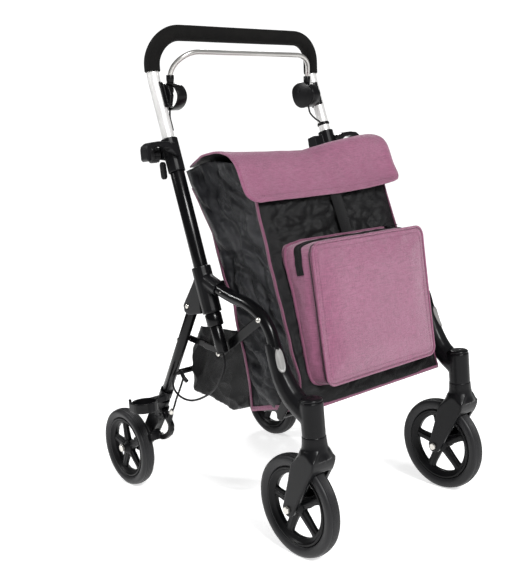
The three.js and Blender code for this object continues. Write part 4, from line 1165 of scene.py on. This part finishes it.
def make_bolts():
    """Bolt heads, leg pins and the caps of the caster posts and main tubes."""
    for word, side in SIDES:
        heads = (
            ((223.2, 264, 440), (side, 0, 0), 0.0046, 0.003),
            ((196.6, 210, 346), (side, 0, 0), 0.0058, 0.004),
            ((196.6, 68, 428), (side, 0, 0), 0.0058, 0.004),
            ((218.5, 152, 474), (side * 0.7, -0.1, 0.7), 0.0042, 0.0042),
            ((221.5, 47, 430.5), (side * 0.8, -0.5, 0.33), 0.005, 0.005),
        )
        heads = [cap_mesh(at(side, place), *head) for place, *head in heads]
        trim(f"frame_bolts_{word}", merge(heads), STEEL, "frame")
        pin = tube_mesh([P(side * x, *LEG_PIVOT[1:]) for x in (190, 206, 223.6)], 0.0042, 20)
        trim(f"leg_pin_{word}", pin, STEEL, "frame")
        bolt = cap_mesh(on_leg(side, 106) + Vector((0, 0.0105, 0.002)), (0, 0.8, 0.5), 0.0045, 0.006)
        trim(f"leg_bolt_{word}", bolt, STEEL, "rear_legs")
        top = cap_mesh(P(side * POST[0], POST[1], 296), (0, 0, 1), 0.0195, 0.006)
        trim(f"post_cap_{word}", top, BLACK_PLASTIC, "frame")
        low = cap_mesh(on_tube(side, 644), (0, -0.26, -0.966), 0.0112, 0.003)
        trim(f"tube_plug_{word}", low, BLACK_PLASTIC, "frame")


# Share of the reflector's size and height above the casting, from its rim to its middle.
REFLECTOR_RINGS = (
    (1.0, -0.002), (1.0, 0.0012), (0.94, 0.002), (0.86, 0.0013),
    (0.72, 0.0014), (0.5, 0.0016), (0.25, 0.0018), (0.04, 0.0018),
)


def make_reflectors():
    """Oval reflector with a raised rim, laid on the forward face of each front casting."""
    steps = [(shape, 2 * math.pi * k / 48) for shape in REFLECTOR_RINGS for k in range(48)]
    for word, side in SIDES:
        casting = bpy.data.objects[f"front_casting_{word}_moulded"]
        out = Vector((side * 0.3, -0.93, 0.21)).normalized()
        across = Vector((0, 0, 1)).cross(out).normalized()
        up = out.cross(across)
        middle = P(side * 211.8, 17.9, 359)
        points = []
        for (share, lift), a in steps:
            x = math.copysign(abs(math.cos(a)) ** 0.8, math.cos(a)) * 0.0078 * share
            z = math.copysign(abs(math.sin(a)) ** 0.85, math.sin(a)) * 0.0215 * share
            place = middle + across * x + up * z
            hit, touched, _, _ = casting.ray_cast(place + out * 0.05, -out)
            points.append((touched if hit else place + out * 0.012) + out * lift)
        rings = [points[i:i + 48] for i in range(0, len(points), 48)]
        trim(f"reflector_{word}", lofted(rings), REFLECTOR, "frame")


CABLE_ROUTE = [
    (212, 176.2, 354.6), (212, 173.6, 345), (212, 173.4, 334), (212, 178, 321), (211, 188, 306),
    (209, 205, 288), (206, 232, 268), (203, 265, 251), (200.5, 300, 238), (200, 326, 233),
    (200.5, 351, 235), (201, 368, 242),
    (201.5, 377, 253), (201, 378, 266), (199, 372, 279), (196, 362, 287), (193, 353, 288), (190, 352, 280),
    (190, 360, 265), (190, 374, 244), (190, 390, 222), (190, 403, 201), (190, 413.5, 189.5),
]
UPPER_ROUTES = {
    "right": [(190, 305, 826), (194, 301, 818), (197.5, 297, 806), (197.8, 293.5, 794), (197.8, 290.5, 782)],
    "left": [(178, 300, 824), (176, 294, 808), (182, 286, 795), (194, 284, 787), (203, 289, 781)],
}


def routed(route, side, per):
    return [Vector(q) for q in curve_points([at(side, place) for place in route], per)]


def make_cables():
    """Brake cables, from the main tube's end round a loose loop to the brake arm, and their upper ends."""
    for word, side in SIDES:
        path = routed(CABLE_ROUTE, side, 6)
        cable = from_data(f"brake_cable_{word}_smooth", *tube_mesh(path, 0.0022, 14, 0), CABLE)
        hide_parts(f"brake_cable_{word}")
        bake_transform(cable)
        barrel = [P(side * 190, y, z) for y, z in ((416, 186), (413, 191.7), (410.5, 196.4))]
        barrel = tube_mesh(barrel, [0.0052, 0.0048, 0.0032], 20, 0.1)
        trim(f"cable_adjuster_{word}", barrel, STEEL, "rear_legs")
        guide = [at(side, place) for place in ((190, 341, 268), (192, 349, 276), (193, 356, 288))]
        trim(f"cable_guide_{word}", tube_mesh(guide, 0.0042, 16), BLACK_PLASTIC, "rear_legs")
        path = routed(UPPER_ROUTES[word], side, 8)
        upper = from_data(f"upper_cable_{word}", *tube_mesh(path, 0.0019, 12, 0), CABLE, "handle")
    clip = tube_mesh([on_tube(1, s) for s in (199, 203, 207)], 0.0136, 28)
    trim("cable_clip_left", clip, BLACK_PLASTIC, "handle")


# ---- scene ------------------------------------------------------------------------------------
def make_floor():
    material, tree, shader, where = nodes_of("floor_white")
    cloud = noise_node(tree, where, 0.8, 2)
    painted(tree, shader, cloud, (0.88, 0.88, 0.88), (0.9, 0.9, 0.9))
    preset(shader, {"Roughness": 0.2, "Specular IOR Level": 0.12})
    preset(shader, {"Emission Color": (1, 1, 1, 1), "Emission Strength": 0.62})
    verts = [(-30, -30, 0), (30, -30, 0), (30, 30, 0), (-30, 30, 0)]
    from_data("floor", verts, [(0, 1, 2, 3)], material)


make_camera()
make_studio()
make_floor()
make_handle()
make_levers()
make_tubes()
make_mouldings()
make_knobs()
make_wheels()
make_bag()
make_bag_edges()
make_flap()
make_pocket()
make_pouch()
make_strap()
make_bolts()
make_reflectors()
make_cables()
